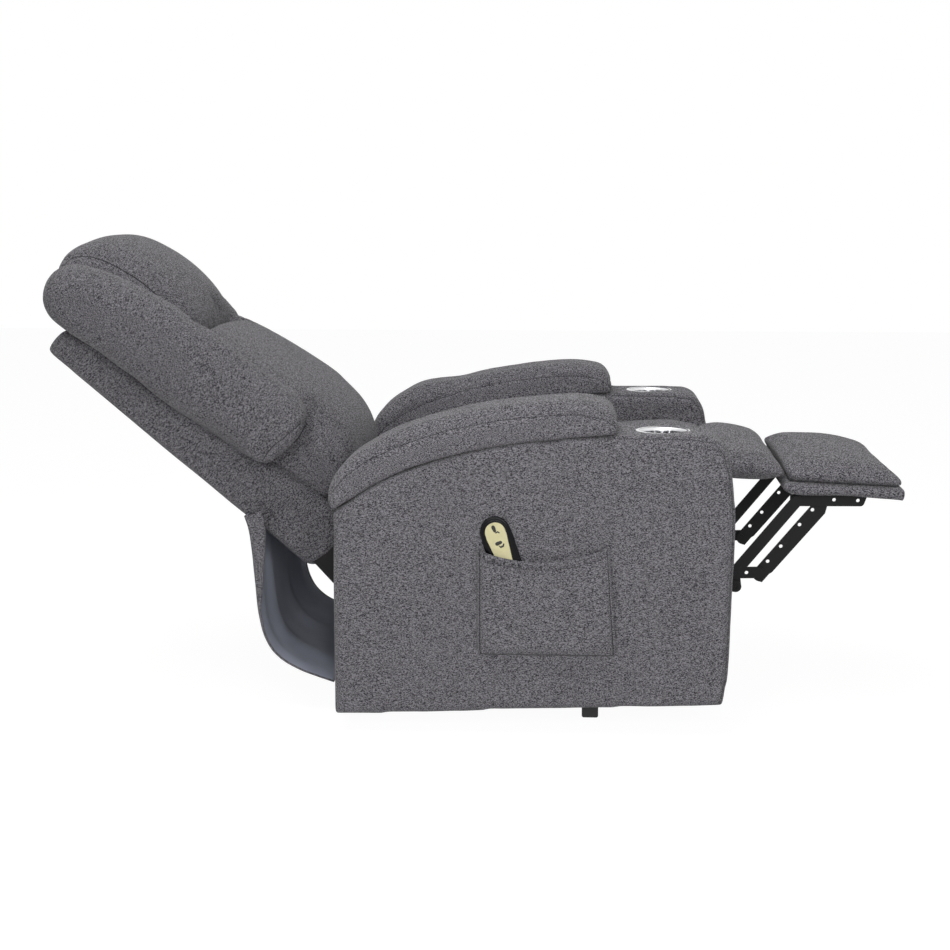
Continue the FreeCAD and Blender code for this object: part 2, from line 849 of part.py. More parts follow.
def slabFront(u):
    """Distance of the back frame's front face from its rear face, at u up the back."""
    return 120 - 80 * u / size["back_length"]


def makeBack():
    parts = []
    long = size["back_length"]
    frame = newBody("back_frame")
    outline = [(-10, 0), (long, 0), (long, slabFront(long)), (-10, slabFront(-10))]
    pad(frame, roundedOutline(outline, [18, 12, 12, 10]), f"{2 * backHalf}")
    parts.append(layOnBack(frame))
    lumbar = softBlock(
        "lumbar_cushion",
        [(20, slabFront(20)), (424, slabFront(424))],
        [(34, 240, 40), (120, 288, 160), (424, 250, 0)],
        "Sizes.arm_inner - 45",
        46,
        0,
    )
    parts.append(layOnBack(lumbar))
    pillow = softBlock(
        "head_pillow",
        [(425, slabFront(425)), (long + 28, slabFront(long + 28))],
        [(425, 244, 0), (470, 259, 0), (540, 262, 0), (612, 245, 0), (664, 222, 0), (700, 182, 0), (712, 132, 0)],
        "Sizes.arm_inner - 45",
        52,
        16,
    )
    parts.append(layOnBack(pillow))
    for name, side in sides:
        wing = softBlock(
            "back_wing_" + name,
            [(166, slabFront(166)), (590, slabFront(590)), (650, 66), (690, 108)],
            [(151, 252, 0), (230, 253, 200), (655, 174, 50), (692, 140, 0)],
            "60",
            26,
            8,
        )
        parts.append(layOnBack(wing, f"{side} * (Sizes.arm_inner + 21)"))
        parts.append(makeBackBracket("back_bracket_" + name, side))
    return parts


def makeBackBracket(label, side):
    """Flat steel bracket from the back pivot to the side of the back frame."""
    layer = side * (backHalf + bracketPlate / 2)
    x, z = backPivot
    corners = [
        (x + 24, z - 24),
        (x - 118, z - 22),
        (x - 160, z + 24),
        (x - 360, z + 197),
        (x - 328, z + 232),
        (x - 140, z + 70),
        (x - 60, z + 40),
        (x + 24, z + 24),
    ]
    outline = roundedOutline(corners, [23, 14, 40, 10, 10, 40, 60, 23])
    hole = circle(backPivot, size["pivot_radius"] + 2 + size["play"])
    return plate(label, outline + [hole], f"{bracketPlate}", f"{layer}")


# Footrest and its linkage


def makeFootrest():
    parts = []
    step = size["link_thick"] + size["layer_gap"]
    half = size["link_width"] / 2
    rivet = size["rivet_radius"]
    hole = rivet + size["play"]
    layers = [plateInner - step * (number + 1) + size["link_thick"] / 2 for number in range(4)]
    outer, second, third, inner = layers
    for name, side in sides:
        rear = plate(
            "link_rear_" + name,
            barOutline([lowerPivot, tailPivot], half) + [circle(lowerPivot, hole), circle(tailPivot, hole + 0.5)],
            "Sizes.link_thick",
            f"{side * outer}",
        )
        body = plate(
            "link_long_" + name + "_bar",
            barOutline([tailPivot, crossPivot, bracketRear], half) + [circle(crossPivot, hole)],
            "Sizes.link_thick",
            f"{side * second}",
        )
        long = fuse(
            "link_long_" + name,
            [
                body,
                pinAlongY("long_tail_" + name, tailPivot, side * second, side * (outer + 1.7), rivet),
                pinAlongY("long_tip_" + name, bracketRear, side * second, side * (third - 2.2), rivet),
            ],
        )
        body = plate(
            "link_main_" + name + "_bar",
            barOutline([upperPivot, crossPivot, tipPivot], half)
            + [circle(upperPivot, shaftRadius), circle((171, 259.5), 3.5)],
            "Sizes.link_thick",
            f"{side * third}",
        )
        main = fuse(
            "link_main_" + name,
            [
                body,
                pinAlongY("main_cross_" + name, crossPivot, side * third, side * (second + 2.2), rivet),
                pinAlongY("main_tip_" + name, tipPivot, side * third, side * (inner - 2.2), rivet),
            ],
        )
        along = [
            (tipPivot[0] + (bracketFront[0] - tipPivot[0]) * part, tipPivot[1] + (bracketFront[1] - tipPivot[1]) * part)
            for part in (0.15, 0.36, 0.66, 0.865)
        ]
        front = plate(
            "link_front_" + name,
            barOutline([tipPivot, bracketFront], half)
            + [circle(tipPivot, hole), circle(bracketFront, hole)]
            + [circle(point, 3.5) for point in along],
            "Sizes.link_thick",
            f"{side * inner}",
        )
        corners = [(250, 413), (396, 413), (388, 391), (250, 390)]
        body = plate(
            "foot_bracket_" + name + "_plate",
            roundedOutline(corners, [0, 0, 8, 0])
            + [circle(bracketRear, hole), circle((333, 403), 3.5), circle((378, 402), 3.5)],
            "Sizes.link_thick",
            f"{side * third}",
        )
        bracket = fuse(
            "foot_bracket_" + name,
            [body, pinAlongY("bracket_tip_" + name, bracketFront, side * third, side * (inner - 2.2), rivet)],
        )
        parts += [rear, long, main, front, bracket]
    reach = plateInner + plateThick + 2
    parts.append(pinAlongY("footrest_shaft", upperPivot, -reach, reach, shaftRadius))
    board = newBody("footrest_board", "Sizes.cup_x")
    start = 233
    end = start + size["foot_length"]
    pad(board, roundedOutline([(start, 413), (end, 413), (end, 440), (start, 440)], [10, 6, 3, 3]), "2 * (Sizes.arm_inner - Sizes.foot_gap)")
    parts.append(board)
    lower = [(236, 440.3), (end - 4, 440.3)]
    upper = [(219, 499, 0), (244, 507, 0), (312, 507, 0), (368, 500, 0), (420, 483, 0), (end + 2, 461, 0)]
    parts.append(softBlock("footrest_cushion", lower, upper, "Sizes.arm_inner - Sizes.foot_gap", 26, 0))
    return parts


# Rear flap


def makeRearFlap():
    """Cloth that closes the gap between the chassis and the reclined back."""
    body = newBody("rear_flap", "Sizes.cup_x")
    outer = [(-783.3, 371), (-757, 200), (-748, 70), (-618, 54)]
    inner = [(-616, 57), (-744, 73), (-753, 200), (-781.3, 373)]
    outline = roundedOutline(outer + inner, [0, 400, 72, 0, 0, 69, 396, 0])
    pad(body, outline, "2 * (Sizes.arm_inner + 30)")
    return body


parts = makeBase() + makeLift() + makeChassis()
for name, side in sides:
    parts.append(makeArm(name, side))
    parts.append(makeArmPad(name, side))
    parts.append(makeCupHolder(name, side))
parts.append(makeSidePocket())
parts += makeHandset()
parts += makeSeat()
parts += makeBack()
parts += makeFootrest()
parts.append(makeRearFlap())
doc.recompute()

failed = [item.Label for item in doc.Objects if {"Invalid", "Error"} & set(item.State)]
failed += [part.Label for part in parts if part.Shape.isNull() or not part.Shape.isValid()]
if failed:
    raise ValueError("failed objects: " + ", ".join(failed))

os.makedirs("parts", exist_ok=True)
for part in parts:
    part.Shape.exportStep(f"parts/{part.Label}.step")
    print(part.Label, round(part.Shape.Volume / 1000, 1), "cm3")
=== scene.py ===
import math
import bmesh
import bpy
import numpy as np
from mathutils import Matrix, Vector


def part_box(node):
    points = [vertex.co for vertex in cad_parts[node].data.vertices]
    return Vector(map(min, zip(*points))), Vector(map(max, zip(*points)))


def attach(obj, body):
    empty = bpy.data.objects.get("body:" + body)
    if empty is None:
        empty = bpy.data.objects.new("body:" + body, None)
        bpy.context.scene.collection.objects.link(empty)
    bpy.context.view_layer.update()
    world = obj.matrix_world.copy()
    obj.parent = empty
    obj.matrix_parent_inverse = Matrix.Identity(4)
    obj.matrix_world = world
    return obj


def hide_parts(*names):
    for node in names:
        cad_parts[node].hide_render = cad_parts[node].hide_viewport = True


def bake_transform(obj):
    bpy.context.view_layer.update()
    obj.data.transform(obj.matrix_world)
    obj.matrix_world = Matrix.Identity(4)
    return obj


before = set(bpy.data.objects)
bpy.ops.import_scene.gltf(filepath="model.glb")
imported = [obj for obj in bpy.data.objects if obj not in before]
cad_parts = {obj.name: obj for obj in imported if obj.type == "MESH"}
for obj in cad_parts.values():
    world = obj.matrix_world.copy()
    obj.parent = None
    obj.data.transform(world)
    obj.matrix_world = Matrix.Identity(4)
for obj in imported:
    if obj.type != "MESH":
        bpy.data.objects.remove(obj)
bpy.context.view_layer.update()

# The model stands on z = 0 and faces +X. Outlines are in millimetres in the side view,
# measured from the line through the two cup holders.
mm = 0.001
cupLow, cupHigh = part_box("cup_holder_right")
datum = (cupLow[0] + cupHigh[0]) / 2
armMiddle = -(cupLow[1] + cupHigh[1]) / 2
backSlope = math.radians(40.7)
backFoot = (datum - 0.687, 0.293)
sides = (("right", -1), ("left", 1))
standing = Matrix.Rotation(math.pi / 2, 4, "X")  # from a flat drawing to the side view


def seen(stage):
    print("scene:", stage, flush=True)


# small helpers for meshes


def coordinates(piece):
    spots = np.empty(len(piece.data.vertices) * 3)
    piece.data.vertices.foreach_get("co", spots)
    return spots.reshape(-1, 3)


def setCoordinates(piece, spots):
    piece.data.vertices.foreach_set("co", np.asarray(spots, float).ravel())
    piece.data.update()


def addObject(name, data):
    added = bpy.data.objects.new(name, data)
    bpy.context.scene.collection.objects.link(added)
    return added


def pieceFrom(name, shape, place=None, smooth=True):
    if place:
        bmesh.ops.transform(shape, matrix=place, verts=shape.verts)
    bmesh.ops.recalc_face_normals(shape, faces=shape.faces)
    mesh = bpy.data.meshes.new(name)
    shape.to_mesh(mesh)
    shape.free()
    if smooth:
        mesh.shade_smooth()
    return addObject(name, mesh)


def meshOf(holder):
    graph = bpy.context.evaluated_depsgraph_get()
    return bpy.data.meshes.new_from_object(holder.evaluated_get(graph))


def modify(piece, kind, **settings):
    # gives the piece one modifier and applies it
    added = piece.modifiers.new(kind.lower(), kind)
    for key, value in settings.items():
        setattr(added, key, value)
    mesh = meshOf(piece)
    piece.modifiers.clear()
    old = piece.data
    piece.data = mesh
    bpy.data.meshes.remove(old)


def smoothstep(low, high, value):
    t = np.clip((value - low) / (high - low), 0, 1)
    return t * t * (3 - 2 * t)


def outlineCurve(name, points, holes=()):
    # a knot with a third number is a corner, the others are smooth; holes are (x, z, radius)
    curve = bpy.data.curves.new(name, "CURVE")
    curve.dimensions = "2D"
    curve.resolution_u = 7
    turns = np.linspace(0, 2 * math.pi, 8, endpoint=False)
    rings = [[(x + r * math.cos(a), z + r * math.sin(a)) for a in turns] for x, z, r in holes]
    for ring in [points] + rings:
        spline = curve.splines.new("BEZIER")
        spline.bezier_points.add(len(ring) - 1)
        spline.use_cyclic_u = True
        for knot, point in zip(spline.bezier_points, ring):
            knot.co = (point[0] * mm, point[1] * mm, 0)
            kind = "VECTOR" if len(point) > 2 else "AUTO"
            knot.handle_left_type = kind
            knot.handle_right_type = kind
    return curve


def meshOfCurve(curve):
    holder = addObject(curve.name, curve)
    mesh = meshOf(holder)
    bpy.data.objects.remove(holder)
    return mesh


def shapeOfCurve(curve):
    shape = bmesh.new()
    shape.from_mesh(meshOfCurve(curve))
    bmesh.ops.remove_doubles(shape, verts=shape.verts, dist=1e-6)
    return shape


def nearestOn(line, spots):
    # the nearest place on a closed line of points, and its distance
    start = line[None, :, :]
    step = (np.roll(line, -1, axis=0) - line)[None, :, :]
    gap = spots[:, None, :] - start
    t = np.clip((gap * step).sum(2) / np.maximum((step * step).sum(2), 1e-12), 0, 1)
    near = start + t[:, :, None] * step
    away = np.sqrt(((spots[:, None, :] - near) ** 2).sum(2))
    best = away.argmin(1)
    rows = np.arange(len(spots))
    return near[rows, best], away[rows, best]


def slabFrom(name, form, edge=None):
    # the form's outline as a slab in even small faces, y from -half to half, sides rounded over
    half, voxel = form["half"], form["voxel"]
    curve = outlineCurve(name, form["outline"])
    curve.fill_mode = "NONE"
    line = np.array([tuple(v.co)[:2] for v in meshOfCurve(curve).vertices])
    curve.fill_mode = "BOTH"
    curve.extrude = half
    piece = pieceFrom(name, shapeOfCurve(curve), standing)
    modify(piece, "REMESH", mode="VOXEL", voxel_size=voxel)
    spots = coordinates(piece)
    near, away = nearestOn(line, spots[:, [0, 2]])
    onRim = away < 0.4 * voxel  # drawn back onto the outline
    spots[np.ix_(onRim, [0, 2])] = near[onRim]
    setCoordinates(piece, spots)
    roundSides(piece, line, half, edge or form["edge"])
    return piece


def roundSides(piece, line, half, edge):
    # edge may be a function of the place in the side view
    spots = coordinates(piece)
    inside = nearestOn(line, spots[:, [0, 2]])[1]
    if callable(edge):
        edge = edge(spots[:, 0] / mm, spots[:, 2] / mm)
    part = 1 - np.clip(inside / edge, 0, 1)
    width = half - edge * (1 - np.sqrt(np.clip(1 - part * part, 0, 1)))
    spots[:, 1] *= width / half
    setCoordinates(piece, spots)


def crownTop(piece, form, low=None):
    # lowers the top towards both sides, and leaves the bottom where it is
    spots = coordinates(piece)
    bottom = spots[:, 2].min() if low is None else low
    height = spots[:, 2].max() - bottom
    part = np.clip(np.abs(spots[:, 1]) / form["half"], 0, 1) * 0.97  # short of upright sides
    fall = 1 - np.sqrt(1 - part * part)
    spots[:, 2] -= form["crown"] * fall * smoothstep(0, 1, (spots[:, 2] - bottom) / height)
    setCoordinates(piece, spots)


def relax(piece, times):
    modify(piece, "SMOOTH", iterations=times, factor=0.5)


def subdivide(piece):
    modify(piece, "SUBSURF", levels=1, render_levels=1)
    piece.data.shade_smooth()


def backToWorld(piece):
    # from the back's own axes, x up the back and z out of it
    cos, sin = math.cos(backSlope), math.sin(backSlope)
    axes = ((-cos, 0, sin, backFoot[0]), (0, 1, 0, 0), (sin, 0, cos, backFoot[1]), (0, 0, 0, 1))
    piece.data.transform(Matrix(axes))
    piece.data.flip_normals()  # these axes are a mirror image


def shift(piece, x=0.0, y=0.0, z=0.0):
    piece.data.transform(Matrix.Translation((x, y, z)))


# filling: pressure from inside, all cushions at once

filled = []
filling = {
    "use_pressure": True,
    "uniform_pressure_force": 4.0,
    "quality": 4,
    "tension_stiffness": 20,
    "compression_stiffness": 20,
    "shear_stiffness": 8,
    "bending_stiffness": 1.5,
}
fillFrames = 20


def fill(piece, cap, share=None):
    # share tells how much of the swelling is kept at each place
    kept = 1.0 if share is None else share(coordinates(piece))[:, None]
    filled.append((piece, cap * kept))


def fillAll():
    scene = bpy.context.scene
    for piece, _ in filled:
        cloth = piece.modifiers.new("filling", "CLOTH")
        for key, value in filling.items():
            setattr(cloth.settings, key, value)
        cloth.settings.effector_weights.gravity = 0
        cloth.collision_settings.use_collision = False
        cloth.collision_settings.use_self_collision = False
        cloth.point_cache.frame_start = 1
        cloth.point_cache.frame_end = fillFrames
    for number in range(1, fillFrames + 1):
        scene.frame_set(number)
    graph = bpy.context.evaluated_depsgraph_get()
    for piece, cap in filled:
        before = coordinates(piece)
        swollen = piece.evaluated_get(graph)
        after = np.empty(len(swollen.data.vertices) * 3)
        swollen.data.vertices.foreach_get("co", after)
        move = after.reshape(-1, 3) - before
        size = np.linalg.norm(move, axis=1, keepdims=True)
        move *= np.minimum(1, cap / np.maximum(size, 1e-9))
        piece.modifiers.clear()
        setCoordinates(piece, before + move)
    scene.frame_set(1)
    seen("cushions filled")


# seams: a groove in the mesh, and the signed distance from it for the finish's fine line

seamHome = 0.05
noSeam = 0.02  # the farthest distance that is kept
farOff = 0.05  # added where no seam is sewn


def seamLine(piece, number, distance):
    # kept as an attribute round seamHome, so a piece without it has no line
    found = piece.data.attributes.new(f"seam{number}", "FLOAT", "POINT")
    value = seamHome + np.clip(distance, -noSeam, noSeam)
    found.data.foreach_set("value", value.astype(np.float32))


def faceTowards(piece, way):
    # turns an open sheet over if most of it faces away
    way = Vector(way)
    if sum(face.normal.dot(way) * face.area for face in piece.data.polygons) < 0:
        piece.data.flip_normals()


def sheetFrom(name, columns, rows, spot, way):
    # a grid with its vertices at spot(s, t), s and t from 0 to 1, and its area
    shape = bmesh.new()
    bmesh.ops.create_grid(shape, x_segments=columns, y_segments=rows, size=0.5)
    for vert in shape.verts:
        vert.co = spot(vert.co.x + 0.5, vert.co.y + 0.5)
    area = sum(face.calc_area() for face in shape.faces)
    piece = pieceFrom(name, shape)
    faceTowards(piece, way)
    return piece, area


def normalsOf(piece):
    normals = np.empty(len(piece.data.vertices) * 3)
    piece.data.vertices.foreach_get("normal", normals)
    return normals.reshape(-1, 3)


def sewAlong(piece, distance, width=0.004, depth=0.003, pucker=0.0, along=None, pitch=0.02):
    # draws the surface in at the seam and lets it swell a little beside it
    distance = np.abs(distance)
    groove = np.exp(-((distance / width) ** 2))
    swell = np.exp(-(((distance - 3.2 * width) / (2.0 * width)) ** 2))
    move = -depth * groove + 0.22 * depth * swell
    if pucker and along is not None:
        near = np.exp(-((distance / (7 * width)) ** 2)) * (1 - groove)
        waves = np.sin(along * 2 * math.pi / pitch + 1.7 * np.sin(along * 31)) * 0.6
        waves += 0.4 * np.sin(along * 2 * math.pi / (pitch * 0.61) + 1.1)
        move = move + pucker * near * waves
    setCoordinates(piece, coordinates(piece) + normalsOf(piece) * move[:, None])


def sideDistance(piece, path):
    # signed distance in the side view from an open path of (x, z), and how far along it
    spots = coordinates(piece)[:, [0, 2]]
    path = np.asarray(path, float) * mm + (datum, 0)
    best = np.full(len(spots), 1e9)
    sign = np.ones(len(spots))
    along = np.zeros(len(spots))
    run = 0.0
    for start, end in zip(path[:-1], path[1:]):
        step = end - start
        length = np.linalg.norm(step)
        t = np.clip(((spots - start) @ step) / (length * length), 0, 1)
        away = spots - start - t[:, None] * step
        gap = np.linalg.norm(away, axis=1)
        nearer = gap < best
        best[nearer] = gap[nearer]
        sign[nearer] = np.sign(step[0] * away[nearer, 1] - step[1] * away[nearer, 0] + 1e-12)
        along[nearer] = run + t[nearer] * length
        run += length
    return best * sign, along


def backAxes(piece):
    # each vertex up the back, out of it, and across
    spots = coordinates(piece)
    x, z = spots[:, 0] - backFoot[0], spots[:, 2] - backFoot[1]
    u = (-math.cos(backSlope) * x + math.sin(backSlope) * z) / mm
    v = (math.sin(backSlope) * x + math.cos(backSlope) * z) / mm
    return u, v, spots[:, 1]


def waver(piece, amount, scale, seed=0.0, along=(1, 1, 1)):
    # slow soft unevenness of cloth over padding
    spots = coordinates(piece)
    x, y, z = (spots * np.array(along)).T
    k = 2 * math.pi / scale
    value = np.sin(k * x + 1.3 * np.sin(0.7 * k * z + seed) + seed)
    value += np.sin(0.83 * k * z + 1.1 * np.sin(0.9 * k * y + 2 * seed) + 1.9 + seed)
    value += 0.7 * np.sin(1.21 * k * (y + 0.6 * x) + 0.9 * np.sin(0.5 * k * z) + 3 * seed)
    setCoordinates(piece, spots + normalsOf(piece) * (amount * value / 2.7)[:, None])


# finishes


class Wire:
    def __init__(self, finish, socket):
        self.finish = finish
        self.socket = socket

    def __add__(self, other):
        return self.finish.maths("ADD", self, other)

    def __radd__(self, other):
        return self.finish.maths("ADD", other, self)

    def __sub__(self, other):
        return self.finish.maths("SUBTRACT", self, other)

    def __rsub__(self, other):
        return self.finish.maths("SUBTRACT", other, self)

    def __mul__(self, other):
        return self.finish.maths("MULTIPLY", self, other)

    def __rmul__(self, other):
        return self.finish.maths("MULTIPLY", other, self)


class Finish:
    def __init__(self, name, **fixed):
        self.material = bpy.data.materials.new(name)
        self.material.use_nodes = True
        self.tree = self.material.node_tree
        self.surface = self.tree.nodes["Principled BSDF"]
        for socket, value in fixed.items():
            self.surface.inputs[socket.replace("_", " ")].default_value = value

    def node(self, kind, settings=None, inputs=None, output=0):
        made = self.tree.nodes.new(kind)
        for key, value in (settings or {}).items():
            if key == "stops":
                ramp = made.color_ramp
                while len(ramp.elements) < len(value):
                    ramp.elements.new(1.0)
                for stop, (position, colour) in zip(ramp.elements, value):
                    stop.position = position
                    stop.color = (*colour, 1)
            else:
                setattr(made, key, value)
        for key, value in (inputs or {}).items():
            self.plug(made.inputs[key], value)
        return Wire(self, made.outputs[output])

    def plug(self, socket, value):
        if isinstance(value, Wire):
            self.tree.links.new(value.socket, socket)
        else:
            socket.default_value = value

    def maths(self, operation, first, second):
        return self.node("ShaderNodeMath", {"operation": operation}, {0: first, 1: second})

    def place(self, scale=(1, 1, 1), turn=(0, 0, 0), shift=(0, 0, 0)):
        here = self.node("ShaderNodeTexCoord", output="Object")
        turned = self.node("ShaderNodeMapping", {}, {"Vector": here, "Rotation": turn, "Location": shift})
        return self.node("ShaderNodeMapping", {}, {"Vector": turned, "Scale": scale})

    def noise(self, scale, detail, roughness, turn=(0, 0, 0), shift=(0, 0, 0)):
        where = self.place(scale, turn, shift)
        inputs = {"Vector": where, "Scale": 1.0, "Detail": detail, "Roughness": roughness}
        return self.node("ShaderNodeTexNoise", {}, inputs)

    def ramp(self, value, stops):
        return self.node("ShaderNodeValToRGB", {"stops": stops}, {0: value})

    def mix(self, factor, first, second):
        return self.node("ShaderNodeMix", {"data_type": "RGBA"}, {0: factor, 6: first, 7: second}, 2)

    def bump(self, height, strength, distance):
        inputs = {"Height": height, "Strength": strength, "Distance": distance}
        return self.node("ShaderNodeBump", {}, inputs)

    def set(self, **links):
        for socket, value in links.items():
            self.plug(self.surface.inputs[socket.replace("_", " ")], value)
        return self.material


def grey(level):
    return (level, level, level)


def scaled(colour, factor):
    return tuple(c * factor for c in colour)


heather = {
    "dark": (0.026, 0.024, 0.029),
    "middle": (0.128, 0.121, 0.138),
    "light": (0.322, 0.313, 0.336),
    "yarn": 0.00073,
    "streak": 0.0030,
    "across": 0.008,
    "contrast": 6.6,
    "seam": (0.016, 0.015, 0.018),
    "seamHalf": 0.0010,
    # seam3 is not a seam: it is painted shade along creases
    "seamDepths": (0.5, 0.85, 0.7),  # how dark seam1, seam2 and seam3 are
}


def wovenFabric(name, turn=0.0, brightness=1.0):
    # dark and light yarns in both directions, a little nap, darker seams, and painted shade along creases
    cloth = Finish(name, Sheen_Weight=0.18, Sheen_Roughness=0.5, Specular_IOR_Level=0.25)
    fine, long, wide = (1 / heather[key] for key in ("yarn", "streak", "across"))
    tilt = (0, turn, 0)
    acrossYarn = cloth.noise((long, wide, fine), 1.5, 0.6, tilt, (0, 0.001, 0))
    upYarn = cloth.noise((fine, wide, long), 1.5, 0.6, tilt, (3, 1.001, 2))
    fleck = cloth.noise((fine * 0.8, wide, fine * 0.8), 2.0, 0.7, tilt, (5, 7.001, 1))
    patch = cloth.noise((7, 7, 7), 3.0, 0.55)
    band = cloth.noise((3.5, 60, 60), 2.0, 0.5, tilt)
    yarns = acrossYarn * 0.52 + upYarn * 0.22 + fleck * 0.26 - 0.5
    value = yarns * (3.0 * heather["contrast"]) + 0.5 + (patch - 0.5) * 0.12 + (band - 0.5) * 0.10
    # brightness below 1 darkens every shade of a whole copy: painted shade
    shades = [scaled(heather[key], brightness) for key in ("dark", "middle", "light")]
    tone = cloth.ramp(value, list(zip((0.0, 0.5, 1.0), shades)))
    lines = 0.0
    for number, strength in enumerate(heather["seamDepths"], 1):
        kept = cloth.node("ShaderNodeAttribute", {"attribute_name": f"seam{number}"}, output="Fac")
        gap = cloth.node(
            "ShaderNodeMath", {"operation": "COMPARE"}, {0: kept, 1: seamHome, 2: heather["seamHalf"]}
        )
        lines = cloth.maths("MAXIMUM", gap * strength, lines)
    weave = cloth.node(
        "ShaderNodeTexWave",
        {"wave_type": "BANDS", "bands_direction": "DIAGONAL"},
        {"Vector": cloth.place((1, 1, 1), tilt), "Scale": 260.0, "Distortion": 2.5, "Detail": 1.0},
        "Fac",
    )
    height = acrossYarn * 0.5 + upYarn * 0.35 + fleck * 0.4 + weave * 0.25
    return cloth.set(
        Base_Color=cloth.mix(lines, tone, (*heather["seam"], 1)),
        Roughness=0.86 + patch * 0.12,
        Normal=cloth.bump(height, 0.55, 0.0011),
    )


def blackSteel():
    # powder coat: fine orange peel and paler wear on raised spots
    coat = Finish("black_steel", Specular_IOR_Level=0.22)
    peel = coat.noise((900, 900, 900), 2.0, 0.6)
    wear = coat.noise((38, 38, 38), 5.0, 0.65)
    scuff = coat.ramp(wear, [(0.0, grey(0.0)), (0.6, grey(0.0)), (0.75, grey(1.0))])
    colour = coat.mix(scuff, (0.0035, 0.0035, 0.0042, 1), (0.016, 0.016, 0.018, 1))
    return coat.set(Base_Color=colour, Roughness=0.36 + wear * 0.22, Normal=coat.bump(peel, 0.25, 0.0003))


def brightSteel(name, tint, rough, metallic=1.0):
    # the brush marks run across, because the noise is finest in height
    steel = Finish(name, Metallic=metallic)
    brush = steel.noise((300, 300, 2600), 3.0, 0.6)
    cloud = steel.noise((40, 40, 40), 3.0, 0.5)
    return steel.set(
        Base_Color=steel.mix(cloud * 0.6, (*tint, 1), (*scaled(tint, 0.8), 1)),
        Roughness=rough - 0.06 + brush * 0.14,
        Normal=steel.bump(brush, 0.06, 0.0002),
    )


def moulded(name, colour, rough, grain=0.2, shine=0.45):
    # moulded plastic with a fine grain and handling marks
    resin = Finish(name, Specular_IOR_Level=shine)
    pits = resin.noise((1400, 1400, 1400), 2.0, 0.6)
    marks = resin.noise((60, 60, 60), 4.0, 0.6)
    return resin.set(
        Base_Color=resin.mix(marks, (*scaled(colour, 0.82), 1), (*scaled(colour, 1.12), 1)),
        Roughness=rough - 0.08 + marks * 0.16,
        Normal=resin.bump(pits, grain, 0.0002),
    )


def plainWood():
    timber = Finish("plain_wood", Roughness=0.6)
    rings = timber.noise((6, 90, 90), 5.0, 0.6)
    pores = timber.noise((60, 900, 900), 2.0, 0.5)
    shades = [(0.3, (0.36, 0.22, 0.11)), (0.5, (0.5, 0.34, 0.19)), (0.7, (0.6, 0.43, 0.26))]
    return timber.set(Base_Color=timber.ramp(rings, shades), Normal=timber.bump(pores + rings, 0.3, 0.0005))


def thinCloth(name, colour, pitch, contrast=0.25):
    # plain woven lining or tape: two sets of fine threads
    cloth = Finish(name, Roughness=0.85, Sheen_Weight=0.1)
    warp, weft = (
        cloth.node(
            "ShaderNodeTexWave",
            {"bands_direction": way},
            {"Vector": cloth.place(), "Scale": pitch, "Distortion": 0.6},
            "Fac",
        )
        for way in "YZ"
    )
    cloud = cloth.noise((9, 9, 9), 4.0, 0.6)
    value = (warp * 0.5 + weft * 0.5 - 0.5) * contrast + (cloud - 0.5) * 0.5 + 0.5
    tone = cloth.ramp(value, [(0.0, scaled(colour, 0.7)), (0.5, colour), (1.0, scaled(colour, 1.25))])
    return cloth.set(Base_Color=tone, Normal=cloth.bump(warp + weft, 0.3, 0.0004))


fabricLevel = wovenFabric("heather_fabric")
# the back's copy has its yarns turned with the back, and is painted 10 % darker as shade
fabricBackShaded = wovenFabric("heather_fabric_back", backSlope, 0.9)
steelCoat = blackSteel()
cupSteel = brightSteel("cup_steel", (0.88, 0.88, 0.89), 0.46, 0.7)
# the well's steel is a much darker copy of the rim's: painted shade inside the well
cupWellShaded = brightSteel("cup_well", (0.24, 0.24, 0.25), 0.24)
rodSteel = brightSteel("rod_steel", (0.7, 0.7, 0.7), 0.18)
blackPlastic = moulded("black_plastic", (0.012, 0.012, 0.013), 0.5)
handsetPlastic = moulded("handset_plastic", (0.004, 0.004, 0.0055), 0.2, 0.05, 0.16)
creamPlastic = moulded("cream_face", (0.78, 0.72, 0.42), 0.42, 0.08)
inkPlastic = moulded("dark_print", (0.02, 0.02, 0.015), 0.5, 0.05)
timberFinish = plainWood()
strapCloth = thinCloth("strap_cloth", (0.03, 0.03, 0.032), 900)
liningCloth = thinCloth("lining_cloth", (0.40, 0.43, 0.53), 700, 0.12)
bindingCloth = thinCloth("binding_tape", (0.0045, 0.0045, 0.0055), 1200)


def finishWith(piece, *materials):
    piece.data.materials.clear()
    for material in materials:
        piece.data.materials.append(material)


def dress(piece, materials, body=None, nodes=(), fullness=None):
    # what a piece wears, the body it goes with, the nodes it stands for; fullness is not used
    finishWith(piece, *materials)
    if nodes:
        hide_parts(*nodes)
    if body:
        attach(piece, body)


seen("finishes made")

# arms

armForm = {
    "outline": [
        (-597, 32, 1), (-383, 38), (-280, 45), (-183, 48), (-36, 52.5), (113, 59, 1), (121, 110),
        (125, 222), (128, 332), (129, 402), (126, 446), (119.5, 490), (111, 526), (90, 549),
        (52, 553.5), (-20, 553), (-85, 553, 1), (-186, 545), (-293, 531), (-382, 513), (-454, 490),
        (-518, 461), (-572, 425), (-596, 410, 1), (-597, 240),
    ],
    "frontSeam": [
        (108, 62), (116, 112), (120, 222), (123, 332), (124, 402), (121, 445), (114.5, 487),
        (106, 520), (88, 542), (52, 548), (-84, 549),
    ],
    "padSeam": [
        (-609, 400), (-597, 412), (-572, 427), (-518, 462), (-454, 491), (-382, 514), (-293, 532),
        (-186, 546), (-85, 553),
    ],
    "half": 0.085,
    "edge": 0.013,
    "voxel": 0.0085,
    "cupHole": 0.0435,
    "cupMiddle": 0.572,
}


def aboveSeam(x, z):
    return z - np.interp(x, *zip(*armForm["padSeam"]))


def armEdge(x, z):
    # hardly rounded along the pad's seam
    near = (1 - smoothstep(6, 26, np.abs(aboveSeam(x, z)))) * (x < -80)
    return armForm["edge"] * (1 - 0.8 * near)


